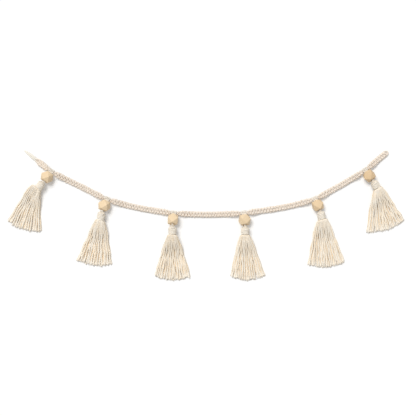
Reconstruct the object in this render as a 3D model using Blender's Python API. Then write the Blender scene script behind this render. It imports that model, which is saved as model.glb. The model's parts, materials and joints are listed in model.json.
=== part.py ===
"""A macrame garland laid flat: a knotted band in six hinged sections, each with a hanging tassel and a wooden bead.

The band runs along X, the tassels point to -Y and the floor is at Z = 0. Lengths are in metres.
"""

import math
from dataclasses import dataclass

import bmesh
import bpy
import numpy as np
from mathutils import Matrix, Vector

# Overall size, and the band's centre line in shares of it
GARLAND_LENGTH = 0.731
BAND_LINE_SHARES = (
    (-0.4286, 0.1388),
    (-0.3856, 0.1072),
    (-0.3223, 0.0743),
    (-0.2567, 0.0429),
    (-0.1456, 0.0130),
    (0.0143, 0.0006),
    (0.1694, 0.0143),
    (0.2722, 0.0399),
    (0.3327, 0.0700),
    (0.3932, 0.1074),
    (0.4544, 0.1553),
)

# The section that the others turn from, counted from 0 at the left
ROOT_SECTION = 2

# The knots
BAND_HALF_WIDTH = 0.0055
BAND_HALF_THICKNESS = 0.0030
WAIST_WIDTH_SHARE = 0.88
WAIST_THICKNESS_SHARE = 0.85
HALF_KNOT_PITCH = 0.0027
KNOT_OUTLINE_SHARES = (
    (1.0, 0.0),
    (0.62, 1.0),
    (0.0, 0.88),
    (-0.62, 1.0),
    (-1.0, 0.0),
    (-0.62, -1.0),
    (0.0, -1.0),
    (0.62, -1.0),
)
NARROW_WIDTH_SHARE = 0.71
NARROW_THICKNESS_SHARE = 0.85
MOUTH_SHARE = 0.92
NARROW_REACH = 0.0094
WIDENING_REACH = 0.0054

# How the band rises off the floor at each tassel
HITCH_AXIS_HEIGHT = 0.0082
LEVEL_REACH = 0.0096
RISE_REACH = 0.0280
RISE_STEPS = 5

# The filler cords inside the knots
FILLER_DIAMETER = 0.0020
TOUCH_GAP = 0.0003
BORE_OUTLINE_SHARES = (
    (1.0, 0.0),
    (0.8, 1.0),
    (0.0, 1.0),
    (-0.8, 1.0),
    (-1.0, 0.0),
    (-0.8, -1.0),
    (0.0, -1.0),
    (0.8, -1.0),
)
BORE_END_WALL = 0.0012
GAP_HALF_LENGTH = 0.0040

# The hinge between two sections: a rounded knot end in a hollow one
HINGE_GAP = 0.0005
HINGE_NOSE_SHARES = ((0.55, 0.835, 0.93), (0.84, 0.54, 0.75), (0.965, 0.26, 0.5))
HOLLOW_STEP_SHARES = (0.72, 0.36)

# The tail of cord ends at the left and the starting fold at the right
TAIL_LENGTH = 0.0280
TAIL_HALF_WIDTH = 0.0032
TAIL_RING_SHARES = (
    (-0.83, 0.0, 0.40),
    (-0.50, 0.0, 0.82),
    (0.0, 0.0, 1.0),
    (0.0, 0.30, 0.95),
    (0.0, 0.60, 0.76),
    (0.0, 0.85, 0.54),
    (0.0, 1.0, 0.28),
)
TAIL_HINGE_SET_IN = 0.0020
FOLD_CORD_DIAMETER = 0.0032
FOLD_RADIUS_SHARE = 0.473
FOLD_LEG = 0.0015
FOLD_STEPS = 6

# The hanging cord, hitched over the fillers
HANGING_CORD_DIAMETER = 0.0017
SELF_GAP = 0.00046
HITCH_SPREAD = 0.0022
HITCH_START_DEGREES = 66
HITCH_STEP_DEGREES = 36
HITCH_STEPS = 7
HITCH_SPREADING_STEPS = 3
HITCH_BAR_DEGREES = 322
HITCH_BAR_SHARES = (0.9, 0.5)
BEAD_FACE_DISTANCE = 0.0048
LEG_END_SET_BACK = 0.0010

# The bead
BEAD_HALF_WIDTH = 0.0090
BEAD_HOLE_RADIUS = 0.00236
BEAD_HOLE_SIDES = 10
DRILL_LENGTH_SHARE = 3.0
FLAT_MERGE_ANGLE = 0.01

# The neck: folded cords under a wound cord, sloping down from the bead
NECK_LENGTH = 0.0192
NECK_END_HEIGHT = 0.0096
NECK_BEND_LIMIT_DEGREES = 36
WRAP_CORD_DIAMETER = 0.0024
WRAP_RADIUS = 0.0065
WRAP_PITCH = 0.0029
WRAP_TURNS = 3.3
WRAP_POINTS_PER_TURN = 11
WRAP_START = 0.0070
CORE_SIDES = 10
COLLAR_RADIUS = 0.0060
HEAD_OUTLINE_SHARES = (
    (0.030, 0.045),
    (0.070, 0.245),
    (0.130, 0.570),
    (0.190, 0.860),
    (0.245, 1.080),
    (0.275, 0.980),
    (0.300, 0.775),
    (0.935, 0.775),
    (0.965, 1.0),
    (1.0, 1.0),
)

# The skirt: two layers of cut cords fanned over the floor
SKIRT_LENGTH = 0.083
LOWER_STRANDS = 8
UPPER_STRANDS = 7
STRAND_ROOT_SIZE = 0.0018
STRAND_END_SIZE = 0.0026
STRAND_WIDTH = 0.0036
STRAND_WIDTH_SHARE = 0.62
STRAND_OUTLINE_SHARES = ((-0.5, 0.0), (0.5, 0.0), (0.35, 1.0), (-0.35, 1.0))
LAYER_GAP = 0.00035
ROOT_HALF_SPREAD = 0.0046
ROOT_DEPTH = 0.0008
ROOT_LAYER_OFFSET = 0.0013
FALL_STATIONS = ((0.0110, 0.45), (0.0270, 0.0))
FAN_POWER = 0.9
TRIM_SHARE = 0.025
TRIM_PHASES = (7.3, 2.1, 4.0)
SKIRT_SPREAD_SHARE = 0.7

# Two places on a cord are neighbours when they are nearer than this along it, in its diameters
NEIGHBOUR_DIAMETERS = 2.5

CLOTH_COLOR = (0.80, 0.70, 0.56, 1.0)
KNOT_COLOR = (0.66, 0.55, 0.44, 1.0)
WOOD_COLOR = (0.78, 0.58, 0.34, 1.0)


@dataclass(frozen=True)
class Tassel:
    """One tassel's place and shape: angles in degrees, lengths in shares of the band, the neck or the skirt."""

    band_share: float
    hitch_height_share: float
    bead_pitch: float
    bead_roll: float
    neck_angle: float
    neck_gap_share: float
    reach_shares: tuple
    spread_shares: tuple


TASSELS = (
    Tassel(0.0505, 1.0, 16, 28, -41, 0.03, (0.98, 0.90, 0.69), (-0.04, 0.66)),
    Tassel(0.2160, 1.0, 16, 24, -14, 0.03, (0.99, 1.01, 0.89), (-0.29, 0.48)),
    Tassel(0.3966, 0.76, 27, 2, -1, 0.055, (0.91, 1.00, 0.92), (-0.38, 0.41)),
    Tassel(0.5829, 1.0, 16, -22, 0, 0.03, (0.92, 1.00, 0.90), (-0.31, 0.44)),
    Tassel(0.7754, 1.0, 12, -12, 16, 0.0, (0.88, 1.04, 1.04), (-0.57, 0.22)),
    Tassel(0.9280, 1.0, 16, 20, 32, 0.03, (0.71, 0.89, 0.92), (-0.70, 0.14)),
)


def spline_slopes(knots, values):
    """The second derivatives of a natural cubic spline at its knots."""
    count = len(knots)
    system = np.zeros((count, count))
    wanted = np.zeros(count)
    system[0, 0] = 1.0
    system[-1, -1] = 1.0
    for i in range(1, count - 1):
        before = knots[i] - knots[i - 1]
        after = knots[i + 1] - knots[i]
        system[i, i - 1 : i + 2] = before, 2 * (before + after), after
        wanted[i] = 6 * ((values[i + 1] - values[i]) / after - (values[i] - values[i - 1]) / before)
    return np.linalg.solve(system, wanted)


class BandLine:
    """The band's centre line in plan, read by distance along it."""

    SAMPLES = 4000

    def __init__(self, points):
        points = np.array(points)
        knots = np.concatenate([[0.0], np.cumsum(np.linalg.norm(np.diff(points, axis=0), axis=1))])
        reads = np.linspace(0.0, knots[-1], self.SAMPLES)
        axes = [self.read(knots, points[:, axis], reads) for axis in (0, 1)]
        self.places = np.stack(axes, axis=1)
        steps = np.linalg.norm(np.diff(self.places, axis=0), axis=1)
        self.arcs = np.concatenate([[0.0], np.cumsum(steps)])
        self.length = self.arcs[-1]

    @staticmethod
    def read(knots, values, reads):
        """The spline through the values, at each place in reads."""
        bends = spline_slopes(knots, values)
        spans = np.clip(np.searchsorted(knots, reads) - 1, 0, len(knots) - 2)
        widths = knots[spans + 1] - knots[spans]
        left = (knots[spans + 1] - reads) / widths
        right = (reads - knots[spans]) / widths
        bend = (left**3 - left) * bends[spans] + (right**3 - right) * bends[spans + 1]
        return left * values[spans] + right * values[spans + 1] + bend * widths**2 / 6

    def point(self, arc):
        """The place at this distance along the line, going straight on past either end."""
        inside = min(max(arc, 0.0), self.length)
        place = [np.interp(inside, self.arcs, self.places[:, axis]) for axis in (0, 1)]
        return Vector((*place, 0.0)) + self.tangent(inside) * (arc - inside)

    def tangent(self, arc):
        """The unit direction along the line, towards +X."""
        at = min(max(np.searchsorted(self.arcs, arc), 5), self.SAMPLES - 6)
        run = self.places[at + 5] - self.places[at - 5]
        return Vector((*run, 0.0)).normalized()

    def side(self, arc):
        """The unit direction square to the line in plan, away from the tassels."""
        along = self.tangent(arc)
        return Vector((-along.y, along.x, 0.0))


LINE = BandLine([(GARLAND_LENGTH * x, GARLAND_LENGTH * y) for x, y in BAND_LINE_SHARES])
TASSEL_ARCS = [LINE.length * tassel.band_share for tassel in TASSELS]
HINGE_ARCS = [(one + other) / 2 for one, other in zip(TASSEL_ARCS, TASSEL_ARCS[1:])]
HOLLOW_RADIUS = BAND_HALF_WIDTH + HINGE_GAP
TAIL_HOLLOW_RADIUS = TAIL_HALF_WIDTH + HINGE_GAP
FILLER_OFFSET = (FILLER_DIAMETER + TOUCH_GAP) / 2
BORE_HALF_WIDTH = FILLER_OFFSET + FILLER_DIAMETER / 2 + TOUCH_GAP
BORE_HALF_HEIGHT = FILLER_DIAMETER / 2 + TOUCH_GAP
FOLD_RADIUS = BAND_HALF_WIDTH * FOLD_RADIUS_SHARE
UP = Vector((0.0, 0.0, 1.0))


def axis_height(arc):
    """The height of the band's axis: low between the tassels, raised at each one."""
    nearest = min(range(len(TASSELS)), key=lambda i: abs(arc - TASSEL_ARCS[i]))
    away = abs(arc - TASSEL_ARCS[nearest])
    top = HITCH_AXIS_HEIGHT * TASSELS[nearest].hitch_height_share
    share = min(max((away - LEVEL_REACH) / RISE_REACH, 0.0), 1.0)
    rise = (1 + math.cos(math.pi * share)) / 2
    return BAND_HALF_THICKNESS + (top - BAND_HALF_THICKNESS) * rise


def band_point(arc, across, lift):
    """The world point at a distance along the band, across it and above its axis."""
    return LINE.point(arc) + LINE.side(arc) * across + UP * (axis_height(arc) + lift)


def material(name, color, roughness):
    """A plain surface."""
    made = bpy.data.materials.new(name)
    made.use_nodes = True
    surface = made.node_tree.nodes["Principled BSDF"]
    surface.inputs["Base Color"].default_value = color
    surface.inputs["Roughness"].default_value = roughness
    return made


class Builder:
    """Holds the collections and materials, and turns shapes into named objects."""

    def __init__(self):
        for thing in list(bpy.data.objects):
            bpy.data.objects.remove(thing)
        self.parts = self.collection("macrame_garland")
        self.cutters = self.collection("cutters")
        self.cord = material("cotton_cord", CLOTH_COLOR, 0.9)
        self.knot_cord = material("knot_cord", KNOT_COLOR, 0.9)
        self.wood = material("maple_wood", WOOD_COLOR, 0.55)

    @staticmethod
    def collection(name):
        """A new collection in the scene."""
        made = bpy.data.collections.new(name)
        bpy.context.scene.collection.children.link(made)
        return made

    def from_bmesh(self, name, shape, surface, origin):
        """A mesh object with its origin at a world point, from a bmesh in world places."""
        bmesh.ops.translate(shape, verts=shape.verts, vec=-origin)
        bmesh.ops.recalc_face_normals(shape, faces=shape.faces)
        mesh = bpy.data.meshes.new(name)
        shape.to_mesh(mesh)
        shape.free()
        mesh.materials.append(surface)
        thing = bpy.data.objects.new(name, mesh)
        thing.location = origin
        self.parts.objects.link(thing)
        return thing

    def tube(self, name, points, diameter, surface, origin):
        """A cord of six sides along a list of world points, with closed ends."""
        path = bpy.data.curves.new(name, "CURVE")
        path.dimensions = "3D"
        path.bevel_depth = diameter / 2
        path.bevel_resolution = 1
        path.use_fill_caps = True
        run = path.splines.new("POLY")
        run.points.add(len(points) - 1)
        for knot, point in zip(run.points, points):
            knot.co = (*(point - origin), 1.0)
        path.materials.append(surface)
        thing = bpy.data.objects.new(name, path)
        thing.location = origin
        self.parts.objects.link(thing)
        return thing

    def cutter(self, thing):
        """Moves an object to the cutters, which aren't parts."""
        self.parts.objects.unlink(thing)
        self.cutters.objects.link(thing)
        thing.hide_render = True
        thing.display_type = "WIRE"

    def combine(self, thing, other, operation):
        """Adds an exact Boolean of another object to an object."""
        change = thing.modifiers.new(operation.lower(), "BOOLEAN")
        change.operation = operation
        change.object = other
        change.solver = "EXACT"
        self.cutter(other)


def ring(shape, points):
    """One ring of vertices."""
    return [shape.verts.new(point) for point in points]


def join_rings(shape, first, second):
    """The band of faces between two rings."""
    count = len(first)
    for i in range(count):
        j = (i + 1) % count
        shape.faces.new((first[i], first[j], second[j], second[i]))


def loft(shape, rings):
    """Faces along a row of rings; the rings' own ends stay open."""
    rows = [ring(shape, points) for points in rings]
    for first, second in zip(rows, rows[1:]):
        join_rings(shape, first, second)
    return rows


def section_points(arc, half_width, half_thickness, outline):
    """A ring across the band, as (along, across, lift)."""
    return [(arc, half_width * x, half_thickness * z) for x, z in outline]


def to_world(points):
    """The world places of a ring given along the band."""
    return [band_point(*point) for point in points]


def knot_size(away, is_belly):
    """Half width and half thickness of the knots at a distance from the tassel."""
    share = min(max((away - NARROW_REACH) / WIDENING_REACH, 0.0), 1.0)
    width = BAND_HALF_WIDTH * (NARROW_WIDTH_SHARE + (1 - NARROW_WIDTH_SHARE) * share)
    thickness = BAND_HALF_THICKNESS * (NARROW_THICKNESS_SHARE + (1 - NARROW_THICKNESS_SHARE) * share)
    if is_belly:
        return width, thickness
    return width * WAIST_WIDTH_SHARE, thickness * WAIST_THICKNESS_SHARE


def knot_rings(start, last):
    """Rings from the tassel's gap to the last full knot before a section's end."""
    pairs = max(round((abs(last - start) / HALF_KNOT_PITCH - 1) / 2), 1)
    count = 2 * pairs + 1
    rings = []
    for i in range(count + 1):
        arc = start + (last - start) * i / count
        away = abs(arc - start) + GAP_HALF_LENGTH
        width, thickness = knot_size(away, i % 2 == 1)
        if i == 0:
            width *= MOUTH_SHARE
            thickness *= MOUTH_SHARE
        if i == count:
            width, thickness = BAND_HALF_WIDTH, BAND_HALF_THICKNESS
        rings.append(section_points(arc, width, thickness, KNOT_OUTLINE_SHARES))
    return rings


def nose_rings(hinge):
    """Rings that round off a section's end about the hinge, with a flat underside."""
    rings = [section_points(hinge, BAND_HALF_WIDTH, BAND_HALF_THICKNESS, KNOT_OUTLINE_SHARES)]
    for ahead_share, width_share, thickness_share in HINGE_NOSE_SHARES:
        rings.append(
            section_points(
                hinge + BAND_HALF_WIDTH * ahead_share,
                BAND_HALF_WIDTH * width_share,
                BAND_HALF_THICKNESS * thickness_share,
                KNOT_OUTLINE_SHARES,
            )
        )
    return rings


def hollow_ring(hinge, radius, set_in, share):
    """A ring on the hollow end's face, drawn in to a share of the full section."""
    points = []
    for x, z in KNOT_OUTLINE_SHARES:
        across = BAND_HALF_WIDTH * x * share
        ahead = math.sqrt(max(radius**2 - across**2, 0.0))
        points.append((hinge + max(ahead, set_in), across, BAND_HALF_THICKNESS * z * share))
    return points


def bore_arcs(tassel_arc, blind_end):
    """Where the bore and the fillers bend, from the tassel's gap to the blind end."""
    away_sign = 1 if blind_end > tassel_arc else -1
    reaches = [GAP_HALF_LENGTH]
    reaches += [LEVEL_REACH + RISE_REACH * i / RISE_STEPS for i in range(RISE_STEPS + 1)]
    end_reach = abs(blind_end - tassel_arc)
    arcs = [tassel_arc + away_sign * reach for reach in reaches if reach < end_reach - HALF_KNOT_PITCH]
    return arcs + [blind_end]


def blind_ends(index):
    """The bore's two blind ends in a section."""
    left = TAIL_HOLLOW_RADIUS if index == 0 else HINGE_ARCS[index - 1] + HOLLOW_RADIUS
    is_last = index == len(TASSELS) - 1
    right = LINE.length - BORE_END_WALL if is_last else HINGE_ARCS[index]
    return left + BORE_END_WALL, right


def knots(builder, index, is_right):
    """The knots on one side of a tassel: a thick-walled cup over the ends of the fillers."""
    tassel_arc = TASSEL_ARCS[index]
    is_last = index == len(TASSELS) - 1
    away_sign = 1 if is_right else -1
    start = tassel_arc + away_sign * GAP_HALF_LENGTH
    if is_right and is_last:
        rings = knot_rings(start, LINE.length)
    elif is_right:
        hinge = HINGE_ARCS[index]
        rings = knot_rings(start, hinge - HALF_KNOT_PITCH) + nose_rings(hinge)
    else:
        hinge = 0.0 if index == 0 else HINGE_ARCS[index - 1]
        radius = TAIL_HOLLOW_RADIUS if index == 0 else HOLLOW_RADIUS
        set_in = TAIL_HINGE_SET_IN if index == 0 else 0.0
        last = hinge + radius + HALF_KNOT_PITCH
        rings = knot_rings(start, last)
        rings += [hollow_ring(hinge, radius, set_in, share) for share in (1.0, *HOLLOW_STEP_SHARES)]
    shape = bmesh.new()
    outside = loft(shape, [to_world(points) for points in rings])
    if is_right:
        shape.faces.new(outside[-1])
    else:
        tip = shape.verts.new(band_point(hinge + radius, 0.0, 0.0))
        for i, vert in enumerate(outside[-1]):
            shape.faces.new((vert, outside[-1][(i + 1) % len(outside[-1])], tip))
    blind_end = blind_ends(index)[1 if is_right else 0]
    bore = [
        section_points(arc, BORE_HALF_WIDTH, BORE_HALF_HEIGHT, BORE_OUTLINE_SHARES)
        for arc in bore_arcs(tassel_arc, blind_end)
    ]
    inside = loft(shape, [to_world(points) for points in bore])
    shape.faces.new(inside[-1])
    join_rings(shape, outside[0], inside[0])
    name = f"knots_{index + 1}_{'right' if is_right else 'left'}"
    builder.from_bmesh(name, shape, builder.knot_cord, section_origin(index))


def section_origin(index):
    """The point that a section turns about: its hinge towards the middle section."""
    if index < ROOT_SECTION:
        return band_point(HINGE_ARCS[index], 0.0, 0.0)
    if index > ROOT_SECTION:
        return band_point(HINGE_ARCS[index - 1], 0.0, 0.0)
    return band_point(TASSEL_ARCS[index], 0.0, 0.0)


def fillers(builder, index):
    """Two filler cords side by side, through both sets of knots of a section."""
    left_end, right_end = blind_ends(index)
    to_left = bore_arcs(TASSEL_ARCS[index], left_end + TOUCH_GAP)
    to_right = bore_arcs(TASSEL_ARCS[index], right_end - TOUCH_GAP)
    arcs = list(reversed(to_left)) + to_right
    for label, sign in (("upper", 1), ("lower", -1)):
        points = [band_point(arc, sign * FILLER_OFFSET, 0.0) for arc in arcs]
        name = f"filler_cord_{index + 1}_{label}"
        builder.tube(name, points, FILLER_DIAMETER, builder.cord, section_origin(index))


def tail(builder):
    """The gathered cord ends at the left: round at the hinge and tapering to a point on the floor."""
    origin = band_point(0.0, 0.0, 0.0)
    out = -LINE.tangent(0.0)
    side = LINE.side(0.0)
    rings = []
    for inward_share, out_share, width_share in TAIL_RING_SHARES:
        ahead = TAIL_HALF_WIDTH * inward_share + TAIL_LENGTH * out_share
        half_height = BAND_HALF_THICKNESS * (1 + width_share) / 2
        centre = origin + out * ahead + UP * (half_height - origin.z)
        rings.append(
            [
                centre + side * TAIL_HALF_WIDTH * width_share * x + UP * half_height * z
                for x, z in KNOT_OUTLINE_SHARES
            ]
        )
    shape = bmesh.new()
    rows = loft(shape, rings)
    shape.faces.new(rows[0])
    shape.faces.new(rows[-1])
    builder.from_bmesh("tail", shape, builder.cord, origin)


def starting_fold(builder):
    """The folded middle of the cords at the right end, where the knots begin."""
    start = LINE.length + TOUCH_GAP
    points = [(start, FOLD_RADIUS)]
    for i in range(FOLD_STEPS + 1):
        angle = math.pi * i / FOLD_STEPS
        ahead = start + FOLD_LEG + FOLD_RADIUS * math.sin(angle)
        points.append((ahead, FOLD_RADIUS * math.cos(angle)))
    points.append((start, -FOLD_RADIUS))
    places = [band_point(arc, across, 0.0) for arc, across in points]
    origin = section_origin(len(TASSELS) - 1)
    builder.tube("starting_fold", places, FOLD_CORD_DIAMETER, builder.cord, origin)


class HangingFrame:
    """The directions and places of one tassel's hitch, bead and neck."""

    def __init__(self, index):
        self.tassel = TASSELS[index]
        arc = TASSEL_ARCS[index]
        pitch = math.radians(self.tassel.bead_pitch)
        turn = math.radians(self.tassel.neck_angle)
        self.axle = LINE.tangent(arc)
        self.hitch = band_point(arc, 0.0, 0.0)
        away = -LINE.side(arc)
        self.out = away * math.cos(pitch) + UP * math.sin(pitch)
        self.above = UP * math.cos(pitch) - away * math.sin(pitch)
        self.bead = self.hitch + self.out * (BEAD_FACE_DISTANCE + BEAD_HALF_WIDTH)
        self.mouth = self.hitch + self.out * (BEAD_FACE_DISTANCE + 2 * BEAD_HALF_WIDTH)
        level_slope = math.asin((self.mouth.z - NECK_END_HEIGHT) / NECK_LENGTH)
        slope = min(level_slope, math.radians(NECK_BEND_LIMIT_DEGREES) - pitch)
        self.run = Vector((math.sin(turn), -math.cos(turn), 0.0))
        self.cross = Vector((math.cos(turn), math.sin(turn), 0.0))
        self.down = self.run * math.cos(slope) - UP * math.sin(slope)
        self.neck_up = UP * math.cos(slope) + self.run * math.sin(slope)
        self.neck_start = self.mouth + self.down * NECK_LENGTH * self.tassel.neck_gap_share
        self.neck_end = self.neck_start + self.down * NECK_LENGTH

    def from_hitch(self, across, out, above):
        """A world point in the hitch's directions."""
        return self.hitch + self.axle * across + self.out * out + self.above * above

    def from_neck(self, across, above, along):
        """A world point in the neck's directions, from its start."""
        return self.neck_start + self.cross * across + self.neck_up * above + self.down * along


def hanging_cord(builder, index):
    """A cord looped over the fillers, held by its own bar, with both legs through the bead."""
    frame = HangingFrame(index)
    leg_offset = (HANGING_CORD_DIAMETER + SELF_GAP) / 2
    inner = BORE_HALF_WIDTH + HANGING_CORD_DIAMETER / 2
    step = math.radians(HITCH_STEP_DEGREES)
    loop_radius = inner / math.cos(step / 2)
    leg_end = BEAD_FACE_DISTANCE + 2 * BEAD_HALF_WIDTH - LEG_END_SET_BACK
    half = [(leg_offset, leg_end, 0.0), (leg_offset, BEAD_FACE_DISTANCE, 0.0)]
    for i in range(HITCH_STEPS):
        angle = -math.radians(HITCH_START_DEGREES) - i * step
        spread = leg_offset + (HITCH_SPREAD - leg_offset) * min((i + 1) / HITCH_SPREADING_STEPS, 1.0)
        half.append((spread, loop_radius * math.cos(angle), loop_radius * math.sin(angle)))
    bar = -math.radians(HITCH_BAR_DEGREES)
    for share in HITCH_BAR_SHARES:
        half.append((HITCH_SPREAD * share, loop_radius * math.cos(bar), loop_radius * math.sin(bar)))
    other = [(-across, out, above) for across, out, above in reversed(half)]
    points = [frame.from_hitch(*point) for point in half + other]
    name = f"hanging_cord_{index + 1}"
    builder.tube(name, points, HANGING_CORD_DIAMETER, builder.cord, frame.hitch)
    return points


def bead(builder, index):
    """A bead of six square and eight triangular faces, with a hole between two opposite squares."""
    frame = HangingFrame(index)
    roll = math.radians(frame.tassel.bead_roll)
    first = frame.axle * math.cos(roll) + frame.above * math.sin(roll)
    second = frame.above * math.cos(roll) - frame.axle * math.sin(roll)
    axes = (first, second, frame.out)
    shape = bmesh.new()
    for skipped in range(3):
        one, other = (axis for i, axis in enumerate(axes) if i != skipped)
        for x in (-1, 1):
            for y in (-1, 1):
                shape.verts.new(frame.bead + (one * x + other * y) * BEAD_HALF_WIDTH)
    bmesh.ops.convex_hull(shape, input=shape.verts)
    bmesh.ops.dissolve_limit(shape, angle_limit=FLAT_MERGE_ANGLE, verts=shape.verts, edges=shape.edges)
    thing = builder.from_bmesh(f"bead_{index + 1}", shape, builder.wood, frame.bead)
    drill = bmesh.new()
    bmesh.ops.create_cone(
        drill,
        cap_ends=True,
        segments=BEAD_HOLE_SIDES,
        radius1=BEAD_HOLE_RADIUS,
        radius2=BEAD_HOLE_RADIUS,
        depth=BEAD_HALF_WIDTH * DRILL_LENGTH_SHARE,
    )
    turned = Matrix((frame.axle, frame.above, frame.out)).transposed().to_4x4()
    bmesh.ops.transform(drill, matrix=Matrix.Translation(frame.bead) @ turned, verts=drill.verts)
    drill_thing = builder.from_bmesh(f"bead_drill_{index + 1}", drill, builder.wood, frame.bead)
    builder.combine(thing, drill_thing, "DIFFERENCE")


def neck_wrap(builder, index):
    """A cord wound round the neck as one open helix."""
    frame = HangingFrame(index)
    count = round(WRAP_TURNS * WRAP_POINTS_PER_TURN)
    points = []
    for i in range(count + 1):
        turns = i / WRAP_POINTS_PER_TURN
        angle = 2 * math.pi * turns
        points.append(
            frame.from_neck(
                WRAP_RADIUS * math.cos(angle),
                WRAP_RADIUS * math.sin(angle),
                WRAP_START + WRAP_PITCH * turns,
            )
        )
    name = f"neck_wrap_{index + 1}"
    builder.tube(name, points, WRAP_CORD_DIAMETER, builder.cord, frame.mouth)
    return points


def strand_rings(frame, start, finish, lift_root, lift_end):
    """The four-sided rings of one cut cord, from inside the collar to its trimmed end."""
    reach, end_across = finish
    end = frame.neck_end
    stations = [(-ROOT_DEPTH, 1.0), *FALL_STATIONS, (reach, 0.0)]
    rings = []
    for along, fall_share in stations:
        share = max(along, 0.0) / reach
        across = start + (end_across - start) * share**FAN_POWER
        pitch_root = 2 * ROOT_HALF_SPREAD / (LOWER_STRANDS - 1)
        pitch_end = SKIRT_LENGTH * SKIRT_SPREAD_SHARE / (LOWER_STRANDS - 1)
        pitch = pitch_root + (pitch_end - pitch_root) * share
        width = min(pitch * STRAND_WIDTH_SHARE, STRAND_WIDTH)
        height = STRAND_END_SIZE + (STRAND_ROOT_SIZE - STRAND_END_SIZE) * fall_share
        bottom = lift_end + (end.z + lift_root - lift_end) * fall_share
        base = Vector((end.x, end.y, 0.0)) + frame.run * along + frame.cross * across
        rings.append(
            [
                base + frame.cross * (width * x) + UP * (bottom + height * z)
                for x, z in STRAND_OUTLINE_SHARES
            ]
        )
    return rings


def fan_end(tassel, share, trim):
    """Where a cord ends: its reach along the neck's direction, and how far across."""
    left, middle, right = tassel.reach_shares
    bow = 4 * share * (1 - share)
    reach = left + (right - left) * share + (middle - (left + right) / 2) * bow
    first, last = tassel.spread_shares
    across = first + (last - first) * share
    return SKIRT_LENGTH * reach * (1 + TRIM_SHARE * trim), SKIRT_LENGTH * across


def skirt(builder, index):
    """The folded cords: a rounded head, the core inside the wrap, and a fan of cut ends."""
    frame = HangingFrame(index)
    profile = bmesh.new()
    outline = [(radius * COLLAR_RADIUS, along * NECK_LENGTH) for along, radius in HEAD_OUTLINE_SHARES]
    rows = []
    for radius, along in outline:
        angles = [2 * math.pi * i / CORE_SIDES for i in range(CORE_SIDES)]
        rows.append([frame.from_neck(radius * math.cos(a), radius * math.sin(a), along) for a in angles])
    made = loft(profile, rows)
    profile.faces.new(made[0])
    profile.faces.new(made[-1])
    thing = builder.from_bmesh(f"tassel_{index + 1}", profile, builder.cord, frame.mouth)
    strands = bmesh.new()
    layers = (
        (LOWER_STRANDS, 0.0, -ROOT_LAYER_OFFSET, 0.0),
        (UPPER_STRANDS, 0.5, ROOT_LAYER_OFFSET, STRAND_END_SIZE + LAYER_GAP),
    )
    strand_phase, tassel_phase, layer_phase = TRIM_PHASES
    for count, offset, root_lift, end_lift in layers:
        for i in range(count):
            share = (i + offset) / (LOWER_STRANDS - 1)
            start = ROOT_HALF_SPREAD * (2 * share - 1)
            trim = math.sin(strand_phase * i + tassel_phase * index + layer_phase * offset)
            finish = fan_end(frame.tassel, share, trim)
            lift_root = root_lift - STRAND_ROOT_SIZE / 2
            rows = loft(strands, strand_rings(frame, start, finish, lift_root, end_lift))
            strands.faces.new(rows[0])
            strands.faces.new(rows[-1])
    fan = builder.from_bmesh(f"fan_{index + 1}", strands, builder.cord, frame.mouth)
    builder.combine(thing, fan, "UNION")


def least_gap(points, diameter):
    """The smallest gap of a tube to itself, between places that aren't neighbours along it."""
    places = np.array([tuple(point) for point in points])
    runs = []
    for first, second in zip(places, places[1:]):
        runs += [first + (second - first) * share for share in (0.0, 0.25, 0.5, 0.75)]
    places = np.array(runs)
    arcs = np.concatenate([[0.0], np.cumsum(np.linalg.norm(np.diff(places, axis=0), axis=1))])
    apart = np.linalg.norm(places[:, None] - places[None], axis=2)
    near = np.abs(arcs[:, None] - arcs[None]) < NEIGHBOUR_DIAMETERS * diameter
    return np.where(near, np.inf, apart).min() - diameter


def main():
    """Builds every piece."""
    builder = Builder()
    tail(builder)
    starting_fold(builder)
    for index in range(len(TASSELS)):
        knots(builder, index, is_right=False)
        knots(builder, index, is_right=True)
        fillers(builder, index)
        hitch_points = hanging_cord(builder, index)
        bead(builder, index)
        wrap_points = neck_wrap(builder, index)
        skirt(builder, index)
    print(f"hanging cord: least gap to itself {1000 * least_gap(hitch_points, HANGING_CORD_DIAMETER):.3f} mm")
    print(f"neck wrap: least gap to itself {1000 * least_gap(wrap_points, WRAP_CORD_DIAMETER):.3f} mm")


if __name__ == "__main__":
    main()
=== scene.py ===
"""The looks of a macrame garland laid flat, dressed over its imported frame.

Every cord follows a worked-out route: the band's two working cords tie real square knots round two filler
cords, a lark's head hitch holds each faceted bead, and each tassel is folded cords under a wound cord.
The band runs along X, the tassels point to -Y and the floor is at Z = 0. Lengths are in metres.
"""

import json
import logging
import math
from dataclasses import asdict, dataclass, field
from enum import Enum

import bmesh
import bpy
import numpy as np
from mathutils import Matrix, Vector

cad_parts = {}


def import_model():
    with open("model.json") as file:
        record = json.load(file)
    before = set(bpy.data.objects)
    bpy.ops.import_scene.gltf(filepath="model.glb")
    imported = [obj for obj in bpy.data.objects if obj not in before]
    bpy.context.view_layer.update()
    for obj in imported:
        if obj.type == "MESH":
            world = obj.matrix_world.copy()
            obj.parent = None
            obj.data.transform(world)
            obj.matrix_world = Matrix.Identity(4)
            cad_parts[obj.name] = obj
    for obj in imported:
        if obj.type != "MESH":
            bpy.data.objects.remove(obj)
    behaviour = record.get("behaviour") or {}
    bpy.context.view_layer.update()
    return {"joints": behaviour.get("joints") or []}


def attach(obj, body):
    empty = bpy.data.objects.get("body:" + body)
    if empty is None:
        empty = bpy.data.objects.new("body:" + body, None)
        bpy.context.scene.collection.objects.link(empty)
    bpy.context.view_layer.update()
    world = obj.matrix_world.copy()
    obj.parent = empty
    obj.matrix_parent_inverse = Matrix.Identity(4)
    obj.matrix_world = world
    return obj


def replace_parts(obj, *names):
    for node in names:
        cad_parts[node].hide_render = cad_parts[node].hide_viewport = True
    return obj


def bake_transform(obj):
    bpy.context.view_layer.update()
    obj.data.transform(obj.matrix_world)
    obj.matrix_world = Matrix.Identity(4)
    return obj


Pair = tuple[float, float]
Triple = tuple[float, float, float]
Points = list[Triple]
Node = bpy.types.Node
Socket = bpy.types.NodeSocket
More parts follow.
